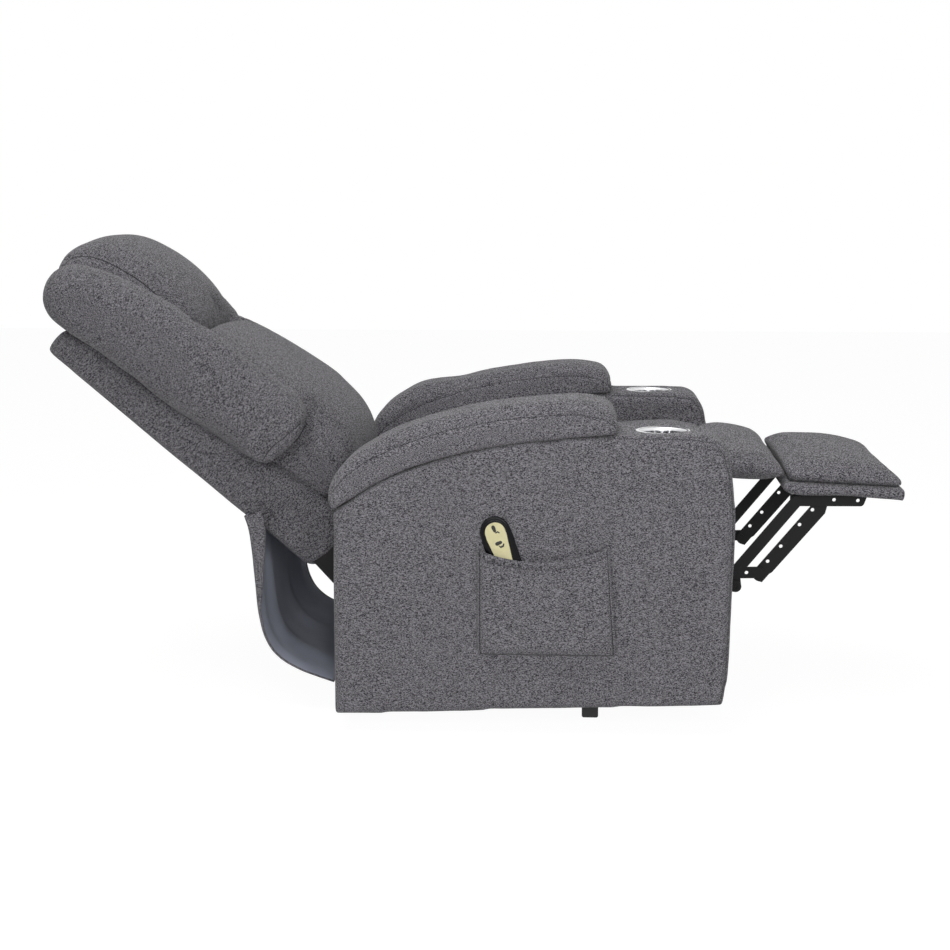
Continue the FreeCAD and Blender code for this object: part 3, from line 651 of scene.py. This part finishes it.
def makeArm(name, side):
    piece = slabFrom("arm_cover_" + name, armForm, armEdge)
    relax(piece, 2)
    shift(piece, datum, side * armMiddle)
    subdivide(piece)
    waver(piece, 0.0011, 0.24, side, (1, 0.3, 1))
    return piece


def fromArmMiddle(piece):
    return np.abs(np.abs(coordinates(piece)[:, 1]) - armMiddle)


def finishArm(piece, name, side):
    # a seam runs up the front edge of each face and over the deck
    distance = sideDistance(piece, armForm["frontSeam"])[0]
    face = fromArmMiddle(piece) - armForm["half"]
    sewAlong(piece, distance + (1 - smoothstep(-0.012, -0.004, face)) * farOff, 0.0035, 0.0016)
    seamLine(piece, 1, np.where(face > -0.014, distance, noSeam))
    hole = bmesh.new()
    radius = armForm["cupHole"]
    bmesh.ops.create_cone(
        hole, cap_ends=True, segments=64, radius1=radius, radius2=radius, depth=0.2,
        matrix=Matrix.Translation((datum, side * armMiddle, armForm["cupMiddle"])),
    )
    cutter = pieceFrom("cup_cutter", hole)
    modify(piece, "BOOLEAN", operation="DIFFERENCE", solver="EXACT", object=cutter)
    bpy.data.objects.remove(cutter)
    dress(piece, [fabricLevel], "chassis", ["arm_" + name], 0.9)


arms = [(makeArm(name, side), name, side) for name, side in sides]

# arm pads

padForm = {
    "outline": [
        (-598, 412, 1), (-606, 431), (-600, 457), (-577, 488), (-533, 519), (-480, 547),
        (-388, 577), (-297, 595), (-206, 606), (-160, 609), (-128, 606), (-101, 599), (-87, 583),
        (-82, 564), (-84, 553, 1), (-186, 546), (-293, 532), (-382, 514), (-454, 491),
        (-518, 462), (-572, 426),
    ],
    "seam": [
        (-601, 443), (-575, 474), (-536, 503), (-478, 531), (-388, 561), (-297, 579), (-206, 589),
        (-150, 591), (-110, 584), (-88, 570), (-80, 556),
    ],
    "half": 0.0862,
    "edge": 0.030,
    "sewnEdge": 0.003,
    "voxel": 0.0065,
    "farRise": 0.021,
    "swell": 0.007,
}


def padEdge(x, z):
    # the sides round over at the top only, and drop straight to the arm's seam
    low = padForm["sewnEdge"]
    return low + (padForm["edge"] - low) * smoothstep(6, 40, aboveSeam(x, z))


def padShare(at):
    return 0.25 + 0.75 * smoothstep(6, 45, aboveSeam((at[:, 0] - datum) / mm, at[:, 2] / mm))


def makePad(name, side):
    piece = slabFrom("arm_pad_cover_" + name, padForm, padEdge)
    if name == "left":
        # the far pad stands a little fuller at its rear
        spots = coordinates(piece)
        x, z = spots[:, 0] / mm, spots[:, 2] / mm
        rise = smoothstep(-390, -525, x) * smoothstep(4, 70, aboveSeam(x, z))
        spots[:, 2] += padForm["farRise"] * rise
        setCoordinates(piece, spots)
    relax(piece, 4)
    shift(piece, datum, side * armMiddle)
    fill(piece, padForm["swell"], padShare)
    return piece


def finishPad(piece, name, side):
    subdivide(piece)
    waver(piece, 0.0012, 0.17, 2 + side, (1, 0.6, 1))
    # the sewn line that runs round the pad part of the way down
    distance, along = sideDistance(piece, padForm["seam"])
    face = fromArmMiddle(piece) - padForm["half"]
    off = (1 - smoothstep(-0.04, -0.02, face)) * farOff
    sewAlong(piece, distance + off, 0.0032, 0.0014, 0.0005, along, 0.026)
    seamLine(piece, 1, np.where(face > -0.032, distance, noSeam))
    dress(piece, [fabricLevel], "chassis", ["arm_pad_" + name], 0.85)


pads = [(makePad(name, side), name, side) for name, side in sides]
seen("arms and pads formed")

# seat, knee roll and footrest cushion

seatForm = {
    "outline": [
        (-428, 352, 1), (-434, 400), (-424, 443), (-380, 456), (-250, 475), (-120, 494), (0, 506),
        (60, 508), (98.5, 504, 1), (97, 486, 1), (92, 470, 1), (91, 396, 1),
    ],
    "half": 0.236,
    "edge": 0.028,
    "crown": 0.020,
    "voxel": 0.0085,
    "swell": 0.008,
}
kneeForm = {
    "outline": [
        (103, 450, 1), (102, 503, 1), (128, 503), (156, 500), (185, 494), (204, 488), (223, 478), (234, 462),
        (237, 450, 1), (204, 448.5), (150, 448.5),
    ],
    "half": 0.235,
    "edge": 0.022,
    "crown": 0.015,
    "voxel": 0.0065,
    "swell": 0.006,
}
footForm = {
    "outline": [
        (245, 441, 1), (241, 458), (236, 472), (245, 479), (264, 483), (308, 483), (366, 479), (404, 471),
        (436, 459), (459, 438), (451, 431, 1),
    ],
    "half": 0.229,
    "edge": 0.022,
    "crown": 0.017,
    "voxel": 0.0065,
    "swell": 0.007,
}


# each swells on top and stays put where it meets its neighbours


def seatShare(at):
    x, z = at[:, 0] - datum, at[:, 2]
    return smoothstep(0.40, 0.47, z) * smoothstep(0.110, 0.04, x)


def kneeShare(at):
    x = at[:, 0] - datum
    return 0.15 + 0.85 * smoothstep(0.100, 0.135, x) * smoothstep(0.236, 0.200, x)


def footShare(at):
    x, z = at[:, 0] - datum, at[:, 2]
    return 0.15 + 0.85 * smoothstep(0.238, 0.270, x) * smoothstep(0.432, 0.462, z)


def makeCushion(name, form, share):
    piece = slabFrom(name, form)
    crownTop(piece, form)
    relax(piece, 3)
    shift(piece, datum)
    fill(piece, form["swell"], share)
    return piece


seatCover = makeCushion("seat_cushion_cover", seatForm, seatShare)
kneeCover = makeCushion("knee_roll_cover", kneeForm, kneeShare)
footCover = makeCushion("footrest_cushion_cover", footForm, footShare)


def finishSeat():
    for piece, node, body, fullness in (
        (seatCover, "seat_cushion", "chassis", 0.8),
        (kneeCover, "knee_roll", "knee_roll", 0.8),
        (footCover, "footrest_cushion", "footrest", 0.75),
    ):
        subdivide(piece)
        waver(piece, 0.0011, 0.2, len(piece.name), (1, 1, 0.5))
        dress(piece, [fabricLevel], body, [node], fullness)


# back, drawn in its own axes: the frame, the sewn cover over the lumbar cushion and
# the wings, and the head pillow

frameForm = {
    "outline": [
        (-18, -6, 1), (150, -9), (400, -13), (600, -16, 1), (615, -15, 1), (619, 20), (608, 44),
        (400, 70), (200, 96), (0, 120), (-30, 117), (-43, 95), (-45, 54), (-42, 24), (-36, 2, 1),
    ],
    "half": 0.2455,
    "edge": 0.009,
    "voxel": 0.0085,
    "seamIn": 0.012,
}
lumbarForm = {
    "outline": [
        (26, 112, 1), (13, 150), (16, 196), (38, 221), (82, 242), (140, 251), (200, 248.5),
        (240, 243.5), (292, 235.5), (355, 222.5), (398, 211), (420, 197), (428, 160), (425, 66, 1),
    ],
    "half": 0.236,
    "edge": 0.046,
    "footEdge": 0.012,
    "crown": 0.040,
    "voxel": 0.0085,
    "inWings": 0.268,
    "swell": 0.008,
}
pillowForm = {
    "outline": [
        (428, 64, 1), (423, 170), (428, 204), (444, 222), (466, 232), (506, 241), (566, 243),
        (620, 234.5), (664, 219), (697, 192), (715, 156), (716, 118), (694, 84), (650, 52),
        (600, 42, 1),
    ],
    "half": 0.216,
    "edge": 0.058,
    "crown": 0.058,
    "voxel": 0.0075,
    "seam": 0.195,
    "swell": 0.009,
}
wingForm = {
    "outline": [
        (160, 108, 1), (261, 97), (363, 82), (467, 68), (560, 60), (606, 55), (660, 61), (687, 88),
        (694, 119), (688, 144), (652, 169), (535, 203), (433, 218), (367, 220), (300, 220),
        (230, 226), (176, 227), (155, 214), (148, 172),
    ],
    "half": 0.060,
    "edge": 0.044,
    "endEdge": 0.010,
    "voxel": 0.0075,
    "middle": 0.271,
    "end": ((108, 172, 214), (160, 148, 155)),
    "dip": ((170, 300, 367, 433, 520, 600), (4, 12, 24, 36, 14, 0)),
}
lowestCrown = 0.1  # the crowns of the back fade out at this height over the back's own foot


def wingEdge(u, v):
    # crisper round the end panel
    low = wingForm["endEdge"]
    return low + (wingForm["edge"] - low) * np.maximum(smoothstep(172, 250, u), smoothstep(195, 228, v))


def lumbarEdge(u, v):
    low = lumbarForm["footEdge"]
    base = 119 - 80 * u / 613  # the front face of the frame
    return low + (lumbarForm["edge"] - low) * smoothstep(25, 85, v - base)


def makeBackFrame():
    piece = slabFrom("back_frame_cover", frameForm)
    relax(piece, 2)
    backToWorld(piece)
    return piece


def makePillow():
    piece = slabFrom("head_pillow_cover", pillowForm)
    crownTop(piece, pillowForm, lowestCrown)
    relax(piece, 6)
    backToWorld(piece)
    fill(piece, pillowForm["swell"])
    return piece


def makeWing(name, side):
    wing = slabFrom("wing", wingForm, wingEdge)
    if name == "left":
        # the far wing is drawn down further beside the pillow's lower end
        spots = coordinates(wing)
        dip = np.interp(spots[:, 0] / mm, *wingForm["dip"])
        spots[:, 2] -= dip * mm * smoothstep(0.110, 0.190, spots[:, 2])
        setCoordinates(wing, spots)
    shift(wing, y=side * wingForm["middle"])
    return wing


def makeBackCover():
    # the wings flow into the lumbar cushion's sides, so the three are one cover
    form = lumbarForm
    piece = slabFrom("back_cover", form, lumbarEdge)
    crownTop(piece, form, lowestCrown)
    spots = coordinates(piece)
    spots[:, 1] *= 1 + (form["inWings"] / form["half"] - 1) * smoothstep(0.150, 0.185, spots[:, 0])
    setCoordinates(piece, spots)
    joined = bmesh.new()
    joined.from_mesh(piece.data)
    for name, side in sides:
        wing = makeWing(name, side)
        joined.from_mesh(wing.data)
        bpy.data.objects.remove(wing)
    joined.to_mesh(piece.data)
    joined.free()
    modify(piece, "REMESH", mode="VOXEL", voxel_size=wingForm["voxel"])
    relax(piece, 4)
    backToWorld(piece)
    fill(piece, form["swell"])
    return piece


backFrame = makeBackFrame()
backCover = makeBackCover()
pillow = makePillow()
seen("back formed")


def finishBack():
    for piece, size, scale, seed in (
        (backFrame, 0.0012, 0.22, 1),
        (backCover, 0.0016, 0.18, 3),
        (pillow, 0.0016, 0.19, 5),
    ):
        subdivide(piece)
        waver(piece, size, scale, seed)
    y = coordinates(backFrame)[:, 1]
    seamLine(backFrame, 1, np.abs(y) - frameForm["half"] + frameForm["seamIn"])

    # the pillow's side panel, and puckers where it is drawn down to the wings
    u, v, y = backAxes(pillow)
    distance = np.where(v > 120, np.abs(y) - pillowForm["seam"], noSeam)
    sewAlong(pillow, distance, 0.005, 0.0034, 0.0014, u * mm, 0.024)
    seamLine(pillow, 2, distance)

    # each wing's end panel is sewn in along a bow near its lower end
    u, v, y = backAxes(backCover)
    end = np.interp(v, *wingForm["end"])
    bow = 3 + 14 * np.sin(math.pi * np.clip((v - 104) / 106, 0, 1))
    onEnd = (np.abs(y) > 0.296) & (v > 98) & (v < 214)
    distance = np.where(onEnd, (u - end - bow) * mm, noSeam)
    sewAlong(backCover, distance, 0.0045, 0.0032)
    seamLine(backCover, 2, distance)
    # the crease between the end panel and the lumbar cushion's side: a groove, and a dark line along it as
    # painted shade
    inCrease = (np.abs(y) > 0.225) & (np.abs(y) < 0.292) & (v > 112) & (v < 222)
    crease = np.where(inCrease, (u - end + 5) * mm, noSeam)
    sewAlong(backCover, crease, 0.0075, 0.0070)
    seamLine(backCover, 3, crease)
    # a fan of folds where wing, pillow and lumbar cushion meet
    wide = np.abs(y) - 0.218
    fan = np.exp(-(((u - 408) / 30) ** 2)) * np.exp(-((wide / 0.07) ** 2)) * smoothstep(170, 205, v)
    folds = np.sin((u - 425) * 0.20 + np.abs(y) * 290) * 0.0042 * fan
    setCoordinates(backCover, coordinates(backCover) + normalsOf(backCover) * (folds - 0.005 * fan)[:, None])

    wings = ["back_wing_right", "back_wing_left"]
    dress(backFrame, [fabricBackShaded], "back", ["back_frame"], 0.9)
    dress(backCover, [fabricBackShaded], "back", ["lumbar_cushion", *wings], 0.75)
    dress(pillow, [fabricBackShaded], "back", ["head_pillow"], 0.75)


# cushions are filled together, then finished

fillAll()
for piece, name, side in arms:
    finishArm(piece, name, side)
for piece, name, side in pads:
    finishPad(piece, name, side)
finishSeat()
finishBack()
seen("cushions finished")

# footrest board cover, cup holders

boardForm = {
    "outline": [
        (236, 441, 1), (233, 428), (246, 420), (355, 415.5), (459, 407.5, 1), (461, 422),
        (459, 431, 1),
    ],
    "half": 0.230,
    "edge": 0.006,
    "voxel": 0.006,
}


def makeBoard():
    piece = slabFrom("footrest_board_cover", boardForm)
    relax(piece, 2)
    shift(piece, datum)
    subdivide(piece)
    dress(piece, [fabricLevel], "footrest", ["footrest_board"], 0.95)


makeBoard()

cupForm = {
    "profile": [
        (0, -68), (30, -68), (38, -66), (40.5, -60), (40.5, -6), (40.6, -3), (41.5, 1.0), (44, 3.0),
        (48, 3.4), (51, 2.4), (52.5, 0.4), (52.0, -0.6), (43, -0.6), (42.4, -4), (42.4, -69),
        (38, -70), (0, -70),
    ],
    "deck": 0.551,
    "rim": 0.003,
    "segments": 160,
    "flutes": 20,
    "fluteDepth": 1.5,
}


def makeCup(name, side):
    shape = bmesh.new()
    spots = [shape.verts.new((r * mm, 0, z * mm)) for r, z in cupForm["profile"]]
    edges = [shape.edges.new(pair) for pair in zip(spots, spots[1:])]
    bmesh.ops.spin(
        shape, geom=spots + edges, cent=(0, 0, 0), axis=(0, 0, 1), angle=2 * math.pi,
        steps=cupForm["segments"], use_merge=True,
    )
    bmesh.ops.remove_doubles(shape, verts=shape.verts, dist=1e-6)
    for vert in shape.verts:
        # upright ribs round the inside of the well
        radius = vert.co.xy.length
        if vert.co.z < -5 * mm and 0.037 < radius < 0.0415:
            rib = max(0.0, math.cos(cupForm["flutes"] * math.atan2(vert.co.y, vert.co.x))) ** 2
            vert.co.xy *= 1 - cupForm["fluteDepth"] * mm * rib / radius
    place = Matrix.Translation((datum, side * armMiddle, cupForm["deck"]))
    piece = pieceFrom("cup_insert_" + name, shape, place)
    dress(piece, [cupSteel, cupWellShaded], "chassis", ["cup_holder_" + name])
    # faces below the rim take the darker copy, painted shade in the well
    for face in piece.data.polygons:
        if face.center.z < cupForm["deck"] - cupForm["rim"]:
            face.material_index = 1


for name, side in sides:
    makeCup(name, side)
seen("cups made")

# side pocket with a gathered top edge

pocketForm = {
    "low": 152,
    "left": -333,
    "right": -82,
    "slant": 15,
    "rise": (350, 356),
    "dip": 27,
    "face": -0.4205,
    "corner": 9,
    "puff": 13.6,
    "gather": 2.0,
    "gathers": 17,
    "hem": 14,
    "wall": 0.0022,
    "grid": (96, 80),
}


def pocketTop(share):
    left, right = pocketForm["rise"]
    return left * (1 - share) + right * share - pocketForm["dip"] * np.sin(np.pi * share) ** 0.8


def pocketGathers(share):
    return np.sin(share * 2 * np.pi * pocketForm["gathers"] + 1.6 * np.sin(share * 19))


def pocketSpot(s, t):
    left, right, low = pocketForm["left"], pocketForm["right"], pocketForm["low"]
    corner = pocketForm["corner"]
    x = left + (right - pocketForm["slant"] * t - left) * s
    z = low + (pocketTop(s) - low) * t
    # lower corners are rounded
    edgeGap = min(x - left, right - x)
    if edgeGap < corner and z - low < corner:
        lift = corner - math.sqrt(max(corner ** 2 - (corner - edgeGap) ** 2, 0))
        z = low + lift + (z - low) * (corner - lift) / corner
    side = min(1.0, edgeGap / 22)
    bottom = min(1.0, (z - low) / 24)
    puff = math.sin(side * math.pi / 2) ** 0.7 * math.sin(bottom * math.pi / 2) ** 0.7
    puff = pocketForm["puff"] * puff + 1.6 * math.sin(3.1 * s * math.pi + 0.6) * t * side
    gather = pocketForm["gather"] * pocketGathers(s) * math.exp(-((1 - t - 0.09) / 0.07) ** 2) * side
    gather *= 0.6 + 0.8 * math.exp(-((s - 0.35) / 0.3) ** 2)
    return datum + x * mm, pocketForm["face"] - (puff + gather) * mm, z * mm


def makePocket():
    left, right, low = pocketForm["left"], pocketForm["right"], pocketForm["low"]
    piece, _ = sheetFrom("side_pocket_cover", *pocketForm["grid"], pocketSpot, (0, -1, 0))
    spots = coordinates(piece)
    x, z = (spots[:, 0] - datum) / mm, spots[:, 2] / mm
    x = x + pocketForm["slant"] * np.clip((z - low) / 200, 0, 1) * (x - left) / (right - left)
    share = np.clip((x - left) / (right - left), 0, 1)
    down = pocketTop(share) - z
    hem = (down - pocketForm["hem"]) * mm
    sewAlong(piece, hem, 0.0026, 0.0015)
    seamLine(piece, 1, hem)
    # short creases where the hem is gathered, drawn as dark dashes of painted shade
    crease = pocketGathers(share) > 0.25 + 0.9 * share
    seamLine(piece, 3, np.where(crease, (down - 9) * mm * 0.3, noSeam))
    rim = np.minimum(np.minimum(x - left, right - x) - 5, z - low - 2) * mm
    sewAlong(piece, rim, 0.0026, 0.0020)
    seamLine(piece, 2, rim)
    modify(piece, "SOLIDIFY", thickness=pocketForm["wall"], offset=1.0)
    dress(piece, [fabricLevel], "chassis", ["side_pocket"])


makePocket()
seen("pocket made")

# handset

handsetForm = {
    "lean": 19,
    "foot": (-256, 249),
    "behind": -0.4204,
    "shell": [(0, -0.5), (20, 1), (26.5, 40), (28, 100), (28, 132), (24, 151), (13, 163), (0, 166)],
    "rim": [
        (0, 3), (17, 4.5), (22.5, 40), (24.2, 100), (24.2, 132), (20.5, 148), (11.5, 158.5),
        (0, 161.5),
    ],
    "face": [
        (0, 6), (7.5, 7), (11, 50), (14, 86), (17, 115), (18.6, 134), (16.5, 146), (9.5, 153.5),
        (0, 156),
    ],
    "keys": {"up": 139, "down": 113},
    "key": (12, 9.5),
}


def handsetPlace():
    # from the handset's own axes: x across, y up its length, z out towards the viewer
    turn = Matrix.Rotation(math.radians(-handsetForm["lean"]), 4, "Y")
    x, z = handsetForm["foot"]
    place = Matrix.Translation((datum + x * mm, handsetForm["behind"], z * mm))
    return place @ turn @ standing


def layerFrom(name, points, low, high, edge, material, body, replaced=()):
    # a thin moulded layer with a rolled upper edge
    curve = outlineCurve(name, points)
    curve.fill_mode = "BOTH"
    curve.resolution_u = 10
    curve.offset = -edge
    curve.bevel_depth = edge
    curve.bevel_resolution = 4
    curve.extrude = max((high - low) / 2 - edge, 0.00005)
    place = handsetPlace() @ Matrix.Translation((0, 0, (low + high) / 2))
    dress(pieceFrom(name, shapeOfCurve(curve), place), [material], body, replaced)


def mirrored(half):
    return half + [(-x, y) for x, y in reversed(half) if x > 0]


for name, outline, low, high, edge, material, replaced in (
    ("body", "shell", 0.0002, 0.0088, 0.0036, handsetPlastic, ["handset_shell"]),
    ("rim", "rim", 0.0052, 0.0104, 0.0024, handsetPlastic, []),
    ("face", "face", 0.0098, 0.0114, 0.0005, creamPlastic, []),
):
    points = mirrored(handsetForm[outline])
    layerFrom("handset_" + name, points, low, high, edge, material, "handset", replaced)
for name, height in handsetForm["keys"].items():
    wide, tall = handsetForm["key"]
    turns = np.linspace(0, 2 * math.pi, 12, endpoint=False)
    ring = [(wide * math.cos(a), height + tall * math.sin(a)) for a in turns]
    key = "key_" + name
    layerFrom("handset_button_" + name, ring, 0.0111, 0.0121, 0.0004, creamPlastic, key, ["handset_" + key])
# a chair raised and a chair laid back, as plain printed signs
signs = {
    "up": [
        [
            (-2.9, 11.0), (-0.2, 12.6), (2.3, 11.0), (2.8, 3.0), (2.2, 0.2), (0.2, -0.8),
            (-2.0, 0.6), (-2.8, 3.4),
        ],
        [
            (0.2, -1.2, 1), (5.4, 0.2, 1), (8.2, -4.0, 1), (6.2, -4.8, 1), (4.2, -2.2, 1),
            (0.2, -3.4, 1),
        ],
    ],
    "down": [
        [
            (-6.6, 4.6), (-4.8, 1.4), (0.2, 1.6), (4.8, 2.4), (6.4, 5.0), (4.8, 7.6), (0.2, 7.8),
            (-4.8, 7.2),
        ],
        [
            (-0.6, 0.4, 1), (1.4, -1.9, 1), (5.4, -1.0, 1), (7.4, 1.8, 1), (9.4, 0.6, 1),
            (6.8, -4.2, 1), (0.4, -5.2, 1), (-2.2, 0.4, 1),
        ],
    ],
}
for name, sign in signs.items():
    for number, shape in enumerate(sign):
        points = [(x, y + handsetForm["keys"][name], *corner) for x, y, *corner in shape]
        layer = f"handset_sign_{name}_{number}"
        layerFrom(layer, points, 0.01205, 0.01235, 0.00005, inkPlastic, "key_" + name)
seen("handset made")

# rear flap: cloth with a light lining, a folded hem at each side and a bound edge

flapForm = {
    "path": [
        (-783, 376), (-776, 354), (-771, 321), (-765, 253), (-757, 176), (-744, 132.5),
        (-724, 105), (-685, 80), (-646, 65), (-616, 55),
    ],
    "half": 0.279,
    "rows": 64,
    "columns": 120,
    "turned": 6,
    "hemAt": (60, 190, 235, 300, 355),
    "hemDeep": (3, 5, 13, 24, 34),
    "wall": 0.0018,
}


def sideLine(name, path):
    # points on a smooth line along an open path, and how far along it each is
    curve = outlineCurve(name, path)
    curve.splines[0].use_cyclic_u = False
    points = np.array([tuple(v.co)[:2] for v in meshOfCurve(curve).vertices])
    run = np.concatenate([[0], np.cumsum(np.linalg.norm(np.diff(points, axis=0), axis=1))])
    return points, run


def pointsAt(spots, points, run):
    return np.stack([np.interp(spots, run, points[:, 0]), np.interp(spots, run, points[:, 1])], 1)


def makeFlap():
    # a grid whose outer columns turn forward as the hemmed returns at both sides
    rows, columns, turned = flapForm["rows"], flapForm["columns"], flapForm["turned"]
    points, run = sideLine("flap_line", flapForm["path"])
    line = pointsAt(np.linspace(0, run[-1], rows + 1), points, run)
    slope = np.gradient(line, axis=0)
    slope /= np.linalg.norm(slope, axis=1, keepdims=True)

    def spot(across, t):
        column = across * (columns + 2 * turned) - turned
        row = min(int(round(t * rows)), rows)
        x, z = line[row]
        inward = (-slope[row][1], slope[row][0])
        over = max(-column, column - columns, 0) / turned
        s = min(max(column / columns, 0), 1)
        y = (2 * s - 1) * flapForm["half"]
        loose = math.sin(math.pi * t) ** 0.7 * (1 - 0.9 * abs(2 * s - 1) ** 8)
        fold = 0.0046 * math.sin(y * 34 + 0.8 * math.sin(y * 13))
        fold += 0.0030 * math.sin(y * 61 + 2.0 + 2 * t)
        sag = 0.005 * math.cos(s * 2 * math.pi) * loose
        deep = float(np.interp(z / mm, flapForm["hemAt"], flapForm["hemDeep"])) * mm * over
        away = fold * loose + sag + deep
        return datum + x + inward[0] * away, y, z + inward[1] * away

    return *sheetFrom("rear_flap_cloth", columns + 2 * turned, rows, spot, (-1, 0, 0)), run[-1]


flap, flapArea, flapLength = makeFlap()
finishWith(flap, fabricLevel, liningCloth, bindingCloth)
# the lining is material 1, and the binding round the edge is material 2
modify(
    flap, "SOLIDIFY", thickness=flapForm["wall"], offset=-1.0, material_offset=1, material_offset_rim=2
)
for face in flap.data.polygons:
    if face.material_index == 1 and abs(face.center.y) > flapForm["half"] - 0.003:
        face.material_index = 2
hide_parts("rear_flap")
flapArea / flapLength
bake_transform(flap)
seen("flap made")

# bridge: the cloth between the seat's rear edge and the lumbar cushion's foot

bridgeForm = {
    "path": [(-430, 430), (-446, 440), (-470, 437), (-505, 428), (-545, 424), (-580, 424), (-596, 428)],
    "half": 0.228,
    "grid": (60, 36),
    "wall": 0.002,
}


def makeBridge():
    points, run = sideLine("bridge_line", bridgeForm["path"])

    def spot(s, t):
        x, z = pointsAt([t * run[-1]], points, run)[0]
        y = (2 * s - 1) * bridgeForm["half"]
        ripple = 0.0022 * math.sin(y * 71 + 1.2 * math.sin(y * 19) + 3 * t)
        ripple -= 0.004 * math.cos(s * 2 * math.pi)
        return datum + x, y, z + ripple * math.sin(math.pi * t)

    piece, area = sheetFrom("seat_bridge_cloth", *bridgeForm["grid"], spot, (0, 0, 1))
    modify(piece, "SOLIDIFY", thickness=bridgeForm["wall"], offset=0.0)
    dress(piece, [fabricLevel])
    area / run[-1]
    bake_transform(piece)


makeBridge()
seen("bridge made")

# front footrest links: plates that widen away from their row of holes

linkForm = {
    "outline": [
        (292, 392, 1), (298, 405), (309, 410), (317.5, 404), (321, 390, 1), (317.5, 376, 1),
        (220, 260, 1), (214.5, 256.5, 1), (201, 240, 1), (187, 246), (183.5, 257), (187, 265, 1),
    ],
    "tip": (194.0, 260.0),
    "head": (309.0, 401.5),
    "tipHole": 4.1,
    "along": (0.15, 0.36, 0.66, 0.865),
    "hole": 3.5,
    "thick": 4.0,
    "bevel": 0.4,
}


def makeFrontLink(name):
    node = "link_front_" + name
    tip, head = np.array(linkForm["tip"]), np.array(linkForm["head"])
    holes = [(*(tip + (head - tip) * part), linkForm["hole"]) for part in linkForm["along"]]
    holes = [(*tip, linkForm["tipHole"])] + holes
    curve = outlineCurve("front_link_plate_" + name, linkForm["outline"], holes)
    curve.fill_mode = "BOTH"
    curve.offset = -linkForm["bevel"] * mm
    curve.bevel_depth = linkForm["bevel"] * mm
    curve.extrude = (linkForm["thick"] / 2 - linkForm["bevel"]) * mm
    low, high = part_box(node)
    place = Matrix.Translation((datum, (low[1] + high[1]) / 2, 0)) @ standing
    piece = pieceFrom("front_link_plate_" + name, shapeOfCurve(curve), place, smooth=False)
    dress(piece, [steelCoat], node, [node])


for name, _ in sides:
    makeFrontLink(name)

# finishes of the pieces that stay as built

nodeFinishes = {
    "end_cap": blackPlastic,
    "actuator_housing": blackPlastic,
    "actuator_rod": rodSteel,
    "seat_rail": timberFinish,
    "seat_webbing": strapCloth,
}
for name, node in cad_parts.items():
    if not node.hide_render:
        own = [finish for start, finish in nodeFinishes.items() if name.startswith(start)]
        finishWith(node, own[0] if own else steelCoat)

# floor, light and camera


def backgroundRays(tree):
    # 1 for the rays that see the white background: the camera's, and those of metal and glass
    path = tree.nodes.new("ShaderNodeLightPath")
    ray = path.outputs["Is Camera Ray"]
    for kind in ("Glossy", "Transmission"):
        either = tree.nodes.new("ShaderNodeMath")
        either.operation = "MAXIMUM"
        tree.links.new(ray, either.inputs[0])
        tree.links.new(path.outputs[f"Is {kind} Ray"], either.inputs[1])
        ray = either.outputs[0]
    return ray


studio = {
    "floor": 0.7,
    "floorShare": 0.84,  # how much of the floor's own light those rays see
    "floorGlow": 1.14,
    "dome": 0.08,
    "background": 1.0,
    "strips": ((1.3, 19), (0.35, 20), (-0.6, 12), (-1.55, 4)),
}


def stageMaterial():
    # lit for the object, and close to white for those rays
    floor = Finish("pale_floor", Roughness=0.9)
    floor.set(Base_Color=(*grey(studio["floor"]), 1))
    light = {"Color": (1, 1, 1, 1), "Strength": studio["floorGlow"]}
    glow = floor.node("ShaderNodeEmission", {}, light)
    share = Wire(floor, backgroundRays(floor.tree)) * studio["floorShare"]
    lit = Wire(floor, floor.surface.outputs[0])
    both = floor.node("ShaderNodeMixShader", {}, {0: share, 1: lit, 2: glow})
    floor.tree.links.new(both.socket, floor.tree.nodes["Material Output"].inputs["Surface"])
    return floor.material


ground = bmesh.new()
bmesh.ops.create_grid(ground, x_segments=2, y_segments=2, size=9)
floorPiece = pieceFrom("floor", ground)
finishWith(floorPiece, stageMaterial())


def softbox(name, spot, target, size, energy):
    lamp = bpy.data.lights.new(name, "AREA")
    lamp.shape = "RECTANGLE"
    lamp.size, lamp.size_y = size
    lamp.energy = energy
    holder = addObject(name, lamp)
    holder.location = spot
    aim = Vector(target) - Vector(spot)
    holder.rotation_euler = aim.to_track_quat("-Z", "Y").to_euler()


softbox("top_light", (-0.8, -0.7, 4.2), (0.0, 0.0, 0.4), (3.2, 2.8), 82)
for across, energy in studio["strips"]:
    softbox("front_light", (across, -3.35, 1.45), (0.0, 0.0, 0.4), (0.34, 1.3), energy)
softbox("side_light", (3.2, -0.6, 1.5), (0.2, 0.0, 0.5), (1.6, 1.6), 3)

world = bpy.data.worlds.new("studio")
bpy.context.scene.world = world
world.use_nodes = True
air = world.node_tree
dome = air.nodes["Background"]
bright = air.nodes.new("ShaderNodeBackground")
for light, strength in ((dome, studio["dome"]), (bright, studio["background"])):
    light.inputs["Color"].default_value = (1, 1, 1, 1)
    light.inputs["Strength"].default_value = strength
mixed = air.nodes.new("ShaderNodeMixShader")
air.links.new(backgroundRays(air), mixed.inputs[0])
air.links.new(dome.outputs[0], mixed.inputs[1])
air.links.new(bright.outputs[0], mixed.inputs[2])
air.links.new(mixed.outputs[0], air.nodes["World Output"].inputs["Surface"])

view = bpy.data.cameras.new("camera")
view.lens = 68.21
view.sensor_width = 36
camera = addObject("camera", view)
camera.location = (datum - 0.1548, -3.595, 0.9904)
camera.rotation_euler = (math.radians(90 - 9.0903), 0, math.radians(3.2966))
bpy.context.scene.camera = camera
bpy.context.scene.view_settings.view_transform = "Standard"

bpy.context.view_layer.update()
seen("done")
